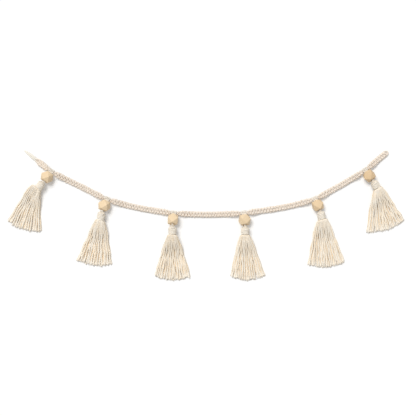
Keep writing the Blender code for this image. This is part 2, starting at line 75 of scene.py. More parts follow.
Thing = bpy.types.Object
Material = bpy.types.Material
Dice = np.random.Generator

log = logging.getLogger("garland")

UP = Vector((0.0, 0.0, 1.0))
WHITE = (1.0, 1.0, 1.0, 1.0)
HALF = 0.5

# The band's route, repeated from the part's source: shares of the garland's length
GARLAND_LENGTH = 0.731
BAND_LINE_SHARES = (
    (-0.4286, 0.1388), (-0.3856, 0.1072), (-0.3223, 0.0743), (-0.2567, 0.0429), (-0.1456, 0.0130),
    (0.0143, 0.0006), (0.1694, 0.0143), (0.2722, 0.0399), (0.3327, 0.0700), (0.3932, 0.1074),
    (0.4544, 0.1553),
)


class Slot(Enum):
    """The record's material slots."""

    CORD = "cotton_cord"
    KNOTS = "knot_cord"
    WOOD = "maple_wood"


class Route(Enum):
    """The attributes that a route's mesh brings into the cord tree, and those that the tree adds."""

    RADIUS = "cord_radius"
    # per point: painted shade with tone, tinting the cord towards its finish's deep colour
    TINT = "cord_shade_and_tone"
    CREST = "ply_crest"
    PLACE = "cord_place"


class NodeMaker:
    """Adds nodes to a tree and links them."""

    def __init__(self, tree: bpy.types.NodeTree) -> None:
        """Keeps the tree that the nodes go into."""
        self.tree = tree

    def add(self, kind: str, inputs: dict | None = None, **settings: object) -> Node:
        """Adds a node.

        Args:
            kind: the node's type name.
            inputs: for each input, by name or number, a value or an output socket to link.
            settings: the node's own properties.

        Returns:
            The new node.
        """
        node = self.tree.nodes.new(kind)
        for name, value in settings.items():
            setattr(node, name, value)
        for key, value in (inputs or {}).items():
            self.feed(node.inputs[key], value)
        return node

    def out(self, kind: str, inputs: dict | None = None, output: int | str = 0, **settings: object) -> Socket:
        """One output, by name or number, of a node that is added as add does it."""
        return self.add(kind, inputs, **settings).outputs[output]

    def feed(self, socket: Socket, value: object) -> None:
        """Links an output to an input, or sets the input's value.

        Args:
            socket: the input.
            value: an output socket or a plain value.
        """
        if isinstance(value, Socket):
            self.tree.links.new(value, socket)
        else:
            socket.default_value = value

    def math(self, operation: str, first: object, second: object = 0.0) -> Socket:
        """The result of a math node, in a geometry or a shader tree."""
        return self.out("ShaderNodeMath", {0: first, 1: second}, operation=operation)

    def times(self, first: object, second: object) -> Socket:
        """The product of two values."""
        return self.math("MULTIPLY", first, second)

    def plus(self, first: object, second: object) -> Socket:
        """The sum of two values."""
        return self.math("ADD", first, second)

    def spread(self, value: Socket, limits: Pair) -> Socket:
        """The value's place between two limits, held between 0 and 1."""
        return self.out("ShaderNodeMapRange", {"Value": value, "From Min": limits[0], "From Max": limits[1]})

    def attribute(self, name: str, output: str = "Fac") -> Socket:
        """What a shader reads from a mesh's named attribute."""
        return self.out("ShaderNodeAttribute", output=output, attribute_name=name)

    def noise(self, vector: Socket, scale: float, detail: float) -> Socket:
        """A noise between 0 and 1."""
        return self.out("ShaderNodeTexNoise", {"Vector": vector, "Scale": scale, "Detail": detail}, "Fac")

    def mix(self, factor: Socket, first: object, second: object) -> Socket:
        """The colour between two colours, each three numbers or a socket.

        Args:
            factor: how far the result is from the first to the second.
            first: the colour at 0.
            second: the colour at 1.

        Returns:
            The mixed colour.
        """
        node = self.add("ShaderNodeMix", {"Factor": factor}, data_type="RGBA")
        colors = [socket for socket in node.inputs if socket.type == "RGBA"]
        for socket, color in zip(colors, (first, second)):
            self.feed(socket, color if isinstance(color, Socket) else (*color, 1.0))
        return next(socket for socket in node.outputs if socket.type == "RGBA")

    def seen(self) -> Socket:
        """Tells the rays that make the picture from those that light it.

        Returns:
            One for rays from the camera or from a mirroring or clear surface, and nought for the others.
        """
        path = self.add("ShaderNodeLightPath").outputs
        mirrored = self.math("MAXIMUM", path["Is Glossy Ray"], path["Is Transmission Ray"])
        return self.math("MAXIMUM", path["Is Camera Ray"], mirrored)

    def coat(self, shader: Node, relief: Socket, strength: float, height: float, inputs: dict) -> None:
        """Feeds a main shader.

        Args:
            shader: the main shader.
            relief: the surface's height for its bump, with no unit.
            strength: the bump's strength.
            height: the real height of a relief of one.
            inputs: for each other input, a value or an output socket to link.
        """
        bump = self.out("ShaderNodeBump", {"Height": relief, "Strength": strength, "Distance": height})
        for name, value in {**inputs, "Normal": bump}.items():
            self.feed(shader.inputs[name], value)


def new_material(name: str) -> tuple[Material, NodeMaker, Node]:
    """A new material of nodes.

    Args:
        name: its name.

    Returns:
        The material with its node maker and its main shader.
    """
    made = bpy.data.materials.new(name)
    made.use_nodes = True
    return made, NodeMaker(made.node_tree), made.node_tree.nodes["Principled BSDF"]


def linked(name: str, data: bpy.types.ID) -> Thing:
    """Adds an object to the scene.

    Args:
        name: its name.
        data: its mesh, lamp or lens.

    Returns:
        The object, at the origin.
    """
    made = bpy.data.objects.new(name, data)
    bpy.context.scene.collection.objects.link(made)
    return made


def mesh_object(name: str, shape: bmesh.types.BMesh) -> Thing:
    """Adds an object to the scene from a bmesh.

    Args:
        name: its name, which its mesh has too.
        shape: its shape, which is freed.

    Returns:
        The object, with its faces outward.
    """
    bmesh.ops.recalc_face_normals(shape, faces=shape.faces)
    mesh = bpy.data.meshes.new(name)
    shape.to_mesh(mesh)
    shape.free()
    return linked(name, mesh)


def worked_out(source: Thing) -> bpy.types.Mesh:
    """A copy of the object's mesh with its modifiers applied."""
    depsgraph = bpy.context.evaluated_depsgraph_get()
    return bpy.data.meshes.new_from_object(source.evaluated_get(depsgraph))


@dataclass(frozen=True)
class CordFinish:
    """Spun cotton, light on the plies' crests, with painted shade: darker and warmer in the ply grooves, on
    the cord's sides and on points tinted towards the deep colour.
    """

    name: str
    crest: Triple
    # colour of the ply grooves and of dark fibre streaks: painted groove shade, mixed with the cord's own
    # streaks
    groove: Triple
    # colour of the painted shade on the sides and on the lower cords, and of the random blotches of tone
    deep: Triple
    blotch_scale: float = 70.0
    blotch_range: Pair = (0.35, 0.75)
    blotch_share: float = 0.22
    crest_share: float = 0.75
    streak_share: float = 0.50
    ridge_range: Pair = (0.10, 0.80)
    # painted shade on the cord's sides: the limits and the share of the darkening where the normal is level
    side_range: Pair = (0.25, 0.95)
    side_share: float = 0.60
    fuzz_scale: float = 2600.0
    fuzz_share: float = 0.35
    fine_detail: float = 2.0
    streak_detail: float = 4.0
    bump_height: float = 0.00016
    bump_strength: float = 0.8
    roughness: float = 0.95
    specular: float = 0.15
    sheen: float = 0.10
    sheen_roughness: float = 0.5

    def material(self) -> Material:
        """Builds the finish.

        Returns:
            The material: streaks that follow the plies, soft blotches, a fine fuzz, and painted shade in the
                ply grooves, on the cord's sides and on tinted points.
        """
        made, maker, shader = new_material(self.name)
        spot = maker.add("ShaderNodeTexCoord").outputs
        crest = maker.attribute(Route.CREST.value)
        streak = maker.noise(maker.attribute(Route.PLACE.value, "Vector"), 1.0, self.streak_detail)
        blotch = maker.noise(spot["Object"], self.blotch_scale, self.fine_detail)
        fuzz = maker.noise(spot["Object"], self.fuzz_scale, self.fine_detail)
        # painted shade: the sides of each cord, where the normal is level, are pulled towards the deep
        # colour, as shade falls between cords
        facing = maker.math("ABSOLUTE", maker.out("ShaderNodeSeparateXYZ", {0: spot["Normal"]}, "Z"))
        sides = maker.spread(maker.math("SUBTRACT", 1.0, facing), self.side_range)
        # painted shade: where the ply-crest mask is low the colour goes to the groove colour; the streak
        # noise adds the cord's own fibre streaks
        ridge = maker.plus(maker.times(crest, self.crest_share), maker.times(streak, self.streak_share))
        base = maker.mix(maker.spread(ridge, self.ridge_range), self.groove, self.crest)
        drift = maker.times(maker.spread(blotch, self.blotch_range), self.blotch_share)
        # the random blotches are the cord's own tone; the side part is painted shade
        side_shade_and_blotch = maker.plus(drift, maker.times(sides, self.side_share))
        inputs = {
            # painted shade and tone: side shade, random blotches and each point's tinted shade pull the
            # colour towards the deep colour
            "Base Color": maker.mix(maker.plus(side_shade_and_blotch, maker.attribute(Route.TINT.value)), base, self.deep),
            "Roughness": self.roughness,
            "Sheen Weight": self.sheen,
            "Sheen Roughness": self.sheen_roughness,
            "Specular IOR Level": self.specular,
        }
        relief = maker.plus(ridge, maker.times(fuzz, self.fuzz_share))
        maker.coat(shader, relief, self.bump_strength, self.bump_height, inputs)
        return made


@dataclass(frozen=True)
class WoodFinish:
    """Pale sanded wood with growth rings and fine pores along the grain."""

    name: str
    early: Triple
    late: Triple
    pore: Triple
    place: str = "wood_place"
    tone: str = "wood_tone"
    ring_scale: float = 420.0
    ring_wobble: float = 2.2
    ring_wobble_scale: float = 0.6
    ring_share: float = 0.55
    ring_relief: float = 0.4
    pore_scale: Triple = (2600.0, 2600.0, 240.0)
    pore_range: Pair = (0.56, 0.80)
    pore_share: float = 0.5
    cloud_scale: float = 160.0
    cloud_share: float = 0.25
    fine_detail: float = 2.0
    bump_height: float = 0.00005
    bump_strength: float = 0.6
    roughness: float = 0.48
    pore_roughness: float = 0.15
    specular: float = 0.35

    def material(self) -> Material:
        """Builds the finish.

        Returns:
            The material, read from each bead's own place and tone attributes.
        """
        made, maker, shader = new_material(self.name)
        place = maker.attribute(self.place, "Vector")
        waves = {
            "Vector": place,
            "Scale": self.ring_scale,
            "Distortion": self.ring_wobble,
            "Detail": self.fine_detail,
            "Detail Scale": self.ring_wobble_scale,
        }
        rings = maker.out("ShaderNodeTexWave", waves, "Fac", wave_type="RINGS", rings_direction="Z")
        grain = maker.out("ShaderNodeMapping", {"Vector": place, "Scale": self.pore_scale})
        pores = maker.noise(grain, 1.0, self.fine_detail)
        cloud = maker.noise(place, self.cloud_scale, self.fine_detail)
        pits = maker.spread(pores, self.pore_range)
        ringed = maker.mix(maker.times(rings, self.ring_share), self.early, self.late)
        flecked = maker.mix(maker.times(pits, self.pore_share), ringed, self.pore)
        darkness = maker.plus(maker.times(cloud, self.cloud_share), maker.attribute(self.tone))
        inputs = {
            "Base Color": maker.mix(darkness, flecked, self.late),
            "Roughness": maker.plus(maker.times(pores, self.pore_roughness), self.roughness),
            "Specular IOR Level": self.specular,
        }
        relief = maker.math("SUBTRACT", maker.times(rings, self.ring_relief), pits)
        maker.coat(shader, relief, self.bump_strength, self.bump_height, inputs)
        return made


@dataclass(frozen=True)
class CordRun:
    """One stretch of cord: its route, and at each point of the route its radius and how far it is tinted with
    painted shade and tone.
    """

    points: np.ndarray
    radii: np.ndarray
    tints: np.ndarray


def even_run(points: np.ndarray, radius: float) -> CordRun:
    """A stretch of one radius, with no painted shade and no tone."""
    return CordRun(points, np.full(len(points), radius), np.zeros(len(points)))


@dataclass(frozen=True)
class CordLay:
    """How a cord is laid up: its plies, their depth as a share of the radius, and the length of one turn."""

    plies: int = 3
    ply_depth_share: float = 0.13
    turn_length: float = 0.0085
    sides: int = 12
    step: float = 0.0009
    fibre_rows: float = 2.6
    fibre_length: float = 0.0030


class CordTree:
    """The Geometry Nodes tree that sweeps a twisted cord along each route of a mesh of edges."""

    INPUTS = {
        "plies": "Int",
        "ply_depth_share": "Float",
        "turn_length": "Float",
        "sides": "Int",
        "step": "Float",
        "fibre_rows": "Float",
        "fibre_length": "Float",
        "finish": "Material",
    }

    def __init__(self) -> None:
        """Builds the tree and keeps the identifier of each named input."""
        self.tree = bpy.data.node_groups.new("twisted_cord", "GeometryNodeTree")
        face = self.tree.interface
        self.identifiers = {}
        for name, kind in {"Geometry": "Geometry", **self.INPUTS}.items():
            made = face.new_socket(name, in_out="INPUT", socket_type=f"NodeSocket{kind}")
            self.identifiers[name] = made.identifier
        face.new_socket("Geometry", in_out="OUTPUT", socket_type="NodeSocketGeometry")
        self.maker = NodeMaker(self.tree)
        self.wire()

    def wire(self) -> None:
        """Links the route, the profile and the attributes that the cord finish reads."""
        maker = self.maker
        given = maker.add("NodeGroupInput").outputs
        profile, angle, crest = self.profile(given)
        route = maker.out("GeometryNodeMeshToCurve", {"Mesh": given["Geometry"]})
        even = {"Curve": route, "Length": given["step"]}
        curve = maker.out("GeometryNodeResampleCurve", even, mode="LENGTH")
        along, kept = self.capture(curve, maker.out("GeometryNodeSplineParameter", output="Length"))
        tilt = maker.times(maker.math("DIVIDE", kept, given["turn_length"]), math.tau)
        named = {"Name": Route.RADIUS.value}
        swept = {
            "Curve": maker.out("GeometryNodeSetCurveTilt", {"Curve": along, "Tilt": tilt}),
            "Profile Curve": profile,
            "Scale": maker.out("GeometryNodeInputNamedAttribute", named, "Attribute", data_type="FLOAT"),
            "Fill Caps": True,
        }
        mesh = maker.out("GeometryNodeCurveToMesh", swept)
        place = {
            "X": maker.times(maker.math("COSINE", angle), given["fibre_rows"]),
            "Y": maker.times(maker.math("SINE", angle), given["fibre_rows"]),
            "Z": maker.math("DIVIDE", kept, given["fibre_length"]),
        }
        mesh = self.store(mesh, Route.CREST, "FLOAT", crest)
        mesh = self.store(mesh, Route.PLACE, "FLOAT_VECTOR", maker.out("ShaderNodeCombineXYZ", place))
        for kind in ("GeometryNodeSetShadeSmooth", "GeometryNodeRealizeInstances"):
            mesh = maker.out(kind, {"Geometry": mesh})
        dressed = maker.out("GeometryNodeSetMaterial", {"Geometry": mesh, "Material": given["finish"]})
        maker.add("NodeGroupOutput", {"Geometry": dressed})

    def profile(self, given: bpy.types.NodeOutputs) -> tuple[Socket, Socket, Socket]:
        """The lobed outline of the cord.

        Args:
            given: the tree's inputs.

        Returns:
            The profile curve, and fields with the angle round it and how near each point is to a ply's crest.
        """
        maker = self.maker
        circle = maker.out("GeometryNodeCurvePrimitiveCircle", {"Resolution": given["sides"], "Radius": 1.0})
        index = maker.out("GeometryNodeInputIndex")
        angle = maker.math("DIVIDE", maker.times(index, math.tau), given["sides"])
        wave = maker.math("COSINE", maker.times(angle, given["plies"]))
        crest = maker.plus(maker.times(wave, HALF), HALF)
        curve, kept_angle = self.capture(circle, angle)
        curve, kept_crest = self.capture(curve, crest)
        hollow = maker.times(maker.math("SUBTRACT", 1.0, kept_crest), given["ply_depth_share"])
        size = maker.math("SUBTRACT", 1.0, hollow)
        spot = maker.out("GeometryNodeInputPosition")
        scaled = maker.out("ShaderNodeVectorMath", {0: spot, "Scale": size}, operation="SCALE")
        moved = maker.out("GeometryNodeSetPosition", {"Geometry": curve, "Position": scaled})
        return moved, kept_angle, kept_crest

    def capture(self, geometry: Socket, value: Socket) -> tuple[Socket, Socket]:
        """Freezes a field on a geometry's points.

        Args:
            geometry: the geometry.
            value: the field.

        Returns:
            The geometry and the frozen field.
        """
        node = self.maker.add("GeometryNodeCaptureAttribute", {"Geometry": geometry})
        node.capture_items.new("FLOAT", "value")
        self.maker.feed(node.inputs[1], value)
        return node.outputs["Geometry"], node.outputs[1]

    def store(self, geometry: Socket, route: Route, kind: str, value: Socket) -> Socket:
        """The geometry with a field written to a named attribute of some data type on its points."""
        inputs = {"Geometry": geometry, "Name": route.value, "Value": value}
        return self.maker.out("GeometryNodeStoreNamedAttribute", inputs, data_type=kind, domain="POINT")

    def sweep(self, name: str, runs: list[CordRun], finish: Material, lay: CordLay) -> Thing:
        """Sweeps cords along routes.

        Args:
            name: the piece's name.
            runs: the stretches of cord that make the piece.
            finish: its material.
            lay: how its cord is laid up.

        Returns:
            A plain mesh object at the origin.
        """
        mesh = bpy.data.meshes.new(name + "_routes")
        edges = []
        first = 0
        for run in runs:
            edges += [(first + i, first + i + 1) for i in range(len(run.points) - 1)]
            first += len(run.points)
        mesh.from_pydata(np.concatenate([run.points for run in runs]).tolist(), edges, [])
        for route, kind in ((Route.RADIUS, "radii"), (Route.TINT, "tints")):
            values = np.concatenate([getattr(run, kind) for run in runs])
            attribute = mesh.attributes.new(route.value, "FLOAT", "POINT")
            attribute.data.foreach_set("value", values.astype(np.float32))
        source = linked(name + "_routes", mesh)
        change = source.modifiers.new("cord", "NODES")
        change.node_group = self.tree
        for key, value in {**asdict(lay), "finish": finish}.items():
            change[self.identifiers[key]] = value
        baked = worked_out(source)
        bpy.data.objects.remove(source)
        bpy.data.meshes.remove(mesh)
        baked.name = name
        baked.attributes.remove(baked.attributes[Route.RADIUS.value])
        return linked(name, baked)


def spline_bends(knots: np.ndarray, values: np.ndarray) -> np.ndarray:
    """The bends of natural cubic splines through columns of values.

    Args:
        knots: the place of each row along the splines.
        values: the rows, with a spline through each column.

    Returns:
        The second derivatives, as many as values.
    """
    count = len(knots)
    system = np.zeros((count, count))
    wanted = np.zeros_like(values)
    system[0, 0] = system[-1, -1] = 1.0
    steps = np.diff(knots)
    slopes = np.diff(values, axis=0) / steps[:, None]
    rows = np.arange(1, count - 1)
    system[rows, rows - 1] = steps[:-1]
    system[rows, rows] = 2 * (steps[:-1] + steps[1:])
    system[rows, rows + 1] = steps[1:]
    wanted[1:-1] = 6 * np.diff(slopes, axis=0)
    return np.linalg.solve(system, wanted)


def lengths_along(places: np.ndarray) -> np.ndarray:
    """The distance of each place along the line through them, from the first."""
    spans = np.linalg.norm(np.diff(places, axis=0), axis=1)
    return np.concatenate([[0.0], np.cumsum(spans)])


def spline_through(rows: np.ndarray | Points, step: float) -> np.ndarray:
    """A smooth line through points.

    Args:
        rows: the points, one in each row, with any number of columns; the first three are the place.
        step: the rough distance between the results.

    Returns:
        Rows along the natural cubic spline through the points.
    """
    points = np.array(rows, dtype=float)
    knots = lengths_along(points[:, :3])
    reads = np.linspace(0.0, knots[-1], max(int(knots[-1] / step), 2) + 1)
    bends = spline_bends(knots, points)
    at = np.clip(np.searchsorted(knots, reads) - 1, 0, len(knots) - 2)
    width = (knots[at + 1] - knots[at])[:, None]
    left = (knots[at + 1] - reads)[:, None] / width
    right = 1 - left
    bend = (left**3 - left) * bends[at] + (right**3 - right) * bends[at + 1]
    return left * points[at] + right * points[at + 1] + bend * width**2 / 6


def smooth_share(value: np.ndarray | float) -> np.ndarray | float:
    """A value held between 0 and 1 and eased at both ends."""
    share = np.clip(value, 0.0, 1.0)
    return share * share * (3 - 2 * share)


class BandLine:
    """The band's centre line in plan and its height off the floor, read by distance along it."""

    SAMPLE_STEP = 0.0002
    TANGENT_STEPS = 5
    LOW_HEIGHT = 0.0030
    LEVEL_REACH = 0.0096
    RISE_REACH = 0.0280

    def __init__(self, shares: tuple[Pair, ...], length: float) -> None:
        """Fits the line through the route's points.

        Args:
            shares: the points, in shares of the garland's length.
            length: the garland's length.
        """
        self.places = spline_through([(length * x, length * y, 0.0) for x, y in shares], self.SAMPLE_STEP)
        self.arcs = lengths_along(self.places)
        self.length = float(self.arcs[-1])
        self.tassel_arcs = np.zeros(0)
        self.tassel_heights = np.zeros(0)

    def seat(self, hitches: list[Vector]) -> None:
        """Notes where each tassel hangs on the line, and how high the band is there."""
        self.tassel_arcs = np.array([self.nearest(place) for place in hitches])
        self.tassel_heights = np.array([place.z for place in hitches])

    def nearest(self, place: Vector) -> float:
        """The distance along the line of the point nearest to a place, seen from above."""
        away = np.hypot(self.places[:, 0] - place.x, self.places[:, 1] - place.y)
        return float(self.arcs[np.argmin(away)])

    def from_tassel(self, arcs: np.ndarray) -> np.ndarray:
        """How far from the nearest tassel each distance along the line is."""
        return np.abs(arcs[:, None] - self.tassel_arcs[None]).min(axis=1)

    def in_plan(self, arcs: np.ndarray) -> np.ndarray:
        """The line's places on the floor at distances along it."""
        return np.stack([np.interp(arcs, self.arcs, self.places[:, i]) for i in range(3)], axis=1)

    def tangents(self, arcs: np.ndarray) -> np.ndarray:
        """The line's unit directions.

        Args:
            arcs: distances along the line.

        Returns:
            A direction for each distance.
        """
        reach = self.SAMPLE_STEP * self.TANGENT_STEPS
        inside = np.clip(arcs, reach, self.length - reach)
        runs = self.in_plan(inside + reach) - self.in_plan(inside - reach)
        return runs / np.linalg.norm(runs, axis=1, keepdims=True)

    def heights(self, arcs: np.ndarray) -> np.ndarray:
        """The height of the band's axis: low between the tassels, raised at each one.

        Args:
            arcs: distances along the line.

        Returns:
            The height at each distance.
        """
        gaps = np.abs(arcs[:, None] - self.tassel_arcs[None])
        share = np.clip((gaps.min(axis=1) - self.LEVEL_REACH) / self.RISE_REACH, 0.0, 1.0)
        tops = self.tassel_heights[gaps.argmin(axis=1)]
        return self.LOW_HEIGHT + (tops - self.LOW_HEIGHT) * (1 + np.cos(np.pi * share)) / 2

    def world(self, local: np.ndarray) -> np.ndarray:
        """The world places of points on the band.

        Args:
            local: rows of distance along, distance across and lift above the axis.

        Returns:
            A place for each row; beyond the line's ends the band runs straight on.
        """
        arcs, across, lift = local[:, 0], local[:, 1], local[:, 2]
        inside = np.clip(arcs, 0.0, self.length)
        along = self.tangents(inside)
        places = self.in_plan(inside)
        places += along * (arcs - inside)[:, None]
        places[:, 0] -= along[:, 1] * across
        places[:, 1] += along[:, 0] * across
        places[:, 2] += self.heights(inside) + lift
        return places

    def point(self, arc: float) -> Vector:
        """The world point on the band's axis."""
        return Vector(self.world(np.array([[arc, 0.0, 0.0]]))[0])


@dataclass(frozen=True)
class TasselShape:
    """What the photograph shows of one tassel: angles in degrees from -Y, lengths in shares of the skirt."""

    neck_angle: float
    bead_roll: float
    neck_gap_share: float
    reach_shares: Triple
    spread_shares: Pair
    coil_slant: float = 0.0
    shoulder_shares: Pair = (1.0, 1.0)
    fan_power: float = 1.0
    wood_tone: float = 0.0


TASSEL_SHAPES = (
    TasselShape(-41, 28, 0.03, (0.98, 0.90, 0.69), (-0.04, 0.66), 0.15, (1.6, 1.0), 1.3, 0.10),
    TasselShape(-14, 24, 0.03, (0.99, 1.01, 0.89), (-0.29, 0.48), 0.08),
    TasselShape(-1, 2, 0.055, (0.91, 1.00, 0.92), (-0.38, 0.41), -0.05),
    TasselShape(0, -22, 0.03, (0.92, 1.00, 0.90), (-0.31, 0.44), 0.05),
    TasselShape(16, -12, 0.0, (0.88, 1.04, 1.04), (-0.57, 0.22), -0.07, (1.25, 1.0), 1.0, 0.35),
    TasselShape(32, 20, 0.03, (0.71, 0.89, 0.92), (-0.70, 0.14), -0.10, (1.0, 1.0), 1.0, 0.70),
)


@dataclass
class Site:
    """One tassel's directions and places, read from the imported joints."""

    number: int
    shape: TasselShape
    hitch: Vector
    axle: Vector
    out: Vector
    bead: Vector
    mouth: Vector
    neck_length: float = 0.0192
    neck_end_height: float = 0.0096
    neck_bend_limit: float = math.radians(36)

    def __post_init__(self) -> None:
        """Works out the remaining directions, and where the neck starts and ends."""
        self.above = self.axle.cross(self.out)
        if self.above.z < 0:
            self.above = -self.above
        turn = math.radians(self.shape.neck_angle)
        level_slope = math.asin((self.mouth.z - self.neck_end_height) / self.neck_length)
        slope = min(level_slope, self.neck_bend_limit - math.asin(self.out.z))
        self.run = Vector((math.sin(turn), -math.cos(turn), 0.0))
        self.cross = Vector((math.cos(turn), math.sin(turn), 0.0))
        self.down = self.run * math.cos(slope) - UP * math.sin(slope)
        self.neck_up = UP * math.cos(slope) + self.run * math.sin(slope)
        self.neck_start = self.mouth + self.down * self.neck_length * self.shape.neck_gap_share
        self.neck_end = self.neck_start + self.down * self.neck_length

    def from_hitch(self, local: np.ndarray) -> np.ndarray:
        """World places of rows of across, out and above, from the hitch."""
        return np.array(self.hitch) + local @ np.array([self.axle, self.out, self.above])

    def from_neck(self, local: np.ndarray) -> np.ndarray:
        """World places of rows of across, above and along the neck, from the neck's start."""
        return np.array(self.neck_start) + local @ np.array([self.cross, self.neck_up, self.down])


def read_sites(joints: list[dict]) -> list[Site]:
    """Reads where the tassels are.

    Args:
        joints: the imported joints.

    Returns:
        Each tassel's site, from left to right.
    """
    named = {joint["name"]: joint for joint in joints}
    sites = []
    for number, shape in enumerate(TASSEL_SHAPES, start=1):
        flap = named[f"tassel_flap_{number}"]
        hitch = Vector(flap["pos_m"])
        axle = Vector(flap["axis"]).normalized()
        bead = Vector(named[f"bead_spin_{number}"]["pos_m"])
        mouth = Vector(named[f"tassel_swing_{number}"]["pos_m"])
        sites.append(Site(number, shape, hitch, axle, (mouth - hitch).normalized(), bead, mouth))
    return sites


@dataclass
class KnottedBand:
    """The band: two working cords in square knots round two fillers, in spans from tassel to tassel.

    The unevenness of the tying is in shares: size_spread, drift_spread and drift_angles vary the half knots'
    sizes within size_limits, and tying_spread varies each one's width and thickness. A filler has a point
    every filler_pitches half knots. The tail's middle sinks to tail_sink cord radii above the floor, less
    where it is narrower, and tail_sink_haste says how many times sooner than at its tip it is down.
    """

    line: BandLine
    tree: CordTree
    finishes: dict[str, Material]
    cord_radius: float = 0.00128
    filler_radius: float = 0.00060
    filler_offset: float = 0.00090
    filler_pitches: int = 4
    filler_points_least: int = 3
    half_width: float = 0.0057
    half_thickness: float = 0.0030
    pitch: float = 0.0027
    size_spread: float = 0.10
    drift_spread: float = 0.10
    drift_angles: Pair = (5.0, 9.0)
    size_limits: Pair = (0.7, 1.4)
    tying_spread: float = 0.05
    entry_points: int = 2
    gap_half_length: float = 0.0060
    bundle_half_length: float = 0.0048
    bundle_lift: float = 0.00115
    bundle_radius_share: float = 0.80
    bundle_easing: float = 0.0020
    narrow_share: float = 0.70
    narrow_reach: float = 0.0094
    widening_reach: float = 0.0054
    narrow_slimming: float = 0.4
    fold_radius: float = 0.0034
    fold_length_share: float = 0.9
    fold_lift_share: float = 0.1
    fold_degrees: tuple[int, ...] = (10, 50, 90, 130, 170)
    tail_length: float = 0.0280
    bend_reach: float = 0.0090
    tail_bend_reach: float = 0.0030
    route_step: float = 0.0004
    lay: CordLay = CordLay(step=0.0006)
    seed: int = 7
    tail_ring_shares: tuple[Pair, ...] = ((0.0, 1.0), (0.30, 0.95), (0.60, 0.76), (0.85, 0.54), (1.0, 0.30))
    tail_seats: tuple[Pair, ...] = ((1.7, 0.1), (-1.7, -0.1), (0.4, 1.1), (-0.4, -0.95))
    tail_swell: float = 1.25
    tail_taper: float = 0.7
    tail_sink: float = 2.2
    tail_sink_haste: float = 2.5
    front_shares: tuple[Triple, ...] = (
        (-0.50, 0.80, -0.12), (0.00, 0.76, -0.06), (0.28, 0.58, 0.20), (0.16, 0.34, 0.54),
        (0.00, 0.00, 0.42), (-0.16, -0.34, 0.54), (-0.28, -0.58, 0.20), (0.00, -0.76, -0.06),
    )
    back_shares: tuple[Triple, ...] = (
        (-0.50, -0.49, 0.78), (-0.14, -0.50, 0.66), (0.20, -0.46, 0.10), (0.12, -0.36, -0.42),
        (0.00, 0.00, -0.56), (-0.12, 0.36, -0.42), (-0.20, 0.46, 0.10), (0.14, 0.50, 0.66),
    )
    dice: Dice = field(init=False)

    def __post_init__(self) -> None:
        """Seeds the small unevenness of hand tying."""
        self.dice = np.random.default_rng(self.seed)

    def widths(self, arcs: np.ndarray) -> np.ndarray:
        """The share of the full width at each distance along: narrower beside a tassel."""
        share = np.clip((self.line.from_tassel(arcs) - self.narrow_reach) / self.widening_reach, 0.0, 1.0)
        return self.narrow_share + (1 - self.narrow_share) * share

    def half_knots(self, start: float, finish: float) -> list[tuple[float, int, float]]:
        """The half knots of one span.

        Args:
            start: the distance along where they start.
            finish: the distance along where they end.

        Returns:
            Each half knot's place, the side it starts from and its pitch.
        """
        count = max(round((finish - start) / self.pitch), 1)
        even = (finish - start) / count
        sizes = 1 + self.size_spread * self.dice.standard_normal(count)
        angles = np.linspace(0, self.dice.uniform(*self.drift_angles), count)
        sizes = np.clip(sizes * (1 + self.drift_spread * np.sin(angles)), *self.size_limits)
        sizes *= count / sizes.sum()
        edges = start + even * np.concatenate([[0.0], np.cumsum(sizes)])
        return [
            ((low + high) / 2, -1 if i % 2 else 1, high - low)
            for i, (low, high) in enumerate(zip(edges, edges[1:]))
        ]

    def knot_points(self, knots: list, shares: tuple, is_last_cut: bool = True) -> Points:
        """One working cord's points through a row of half knots, from inside the first one.

        Args:
            knots: the half knots' places, sides and pitches.
            shares: the cord's points in one half knot, in shares of the pitch, half width and half thickness.
            is_last_cut: leaves out the turn after the last half knot.

        Returns:
            Points as distance along, distance across and lift.
        """
        points = []
        for i, (arc, side, pitch) in enumerate(knots):
            first = self.entry_points if i == 0 else 0
            last = -1 if is_last_cut and i == len(knots) - 1 else None
            uneven = 1 + self.tying_spread * self.dice.standard_normal(2)
            for along, across, lift in shares[first:last]:
                aside = self.half_width * side * across * uneven[0]
                points.append((arc + pitch * along, aside, self.half_thickness * lift * uneven[1]))
        return points

    def narrowed(self, points: Points) -> np.ndarray:
        """Draws points in beside the tassels.

        Args:
            points: points as distance along, distance across and lift.

        Returns:
            The points as rows.
        """
        drawn = np.array(points)
        drawn[:, 1] *= self.widths(drawn[:, 0])
        return drawn

    def run(self, points: np.ndarray | Points, radius: float) -> CordRun:
        """A smooth stretch of cord, slimmer where the band is narrow, and off the floor.

        Args:
            points: points as distance along, distance across and lift.
            radius: the cord's radius where the band is wide.

        Returns:
            The stretch in the world, without painted shade or tone.
        """
        smooth = spline_through(points, self.route_step)
        away = self.line.from_tassel(smooth[:, 0])
        gathered = 1 - smooth_share((away - self.bundle_half_length) / self.bundle_easing)
        slim = 1 - self.narrow_slimming + self.narrow_slimming * self.widths(smooth[:, 0])
        radii = radius * slim * (1 - (1 - self.bundle_radius_share) * gathered)
        places = self.line.world(smooth)
        places[:, 2] = np.maximum(places[:, 2], radii)
        return CordRun(places, radii, np.zeros(len(smooth)))

    def bundle(self, arc: float, lift: float, sign: int) -> Points:
        """A cord's two points under the hitch at arc, from the left: its middle, and its end by the sign."""
        return sorted([(arc, 0.0, lift), (arc + sign * self.bundle_half_length, 0.0, lift)])

    def filler_points(self, start: float, finish: float, sign: int) -> Points:
        """A filler's points between two distances along, on the side that the sign tells."""
        count = round(abs(finish - start) / (self.filler_pitches * self.pitch))
        arcs = np.linspace(start, finish, max(count, self.filler_points_least))
        return [(arc, sign * self.filler_offset, 0.0) for arc in arcs]

    @staticmethod
    def fillers(number: int) -> tuple[str, str]:
        """The names of a section's two filler nodes."""
        return f"filler_cord_{number}_upper", f"filler_cord_{number}_lower"

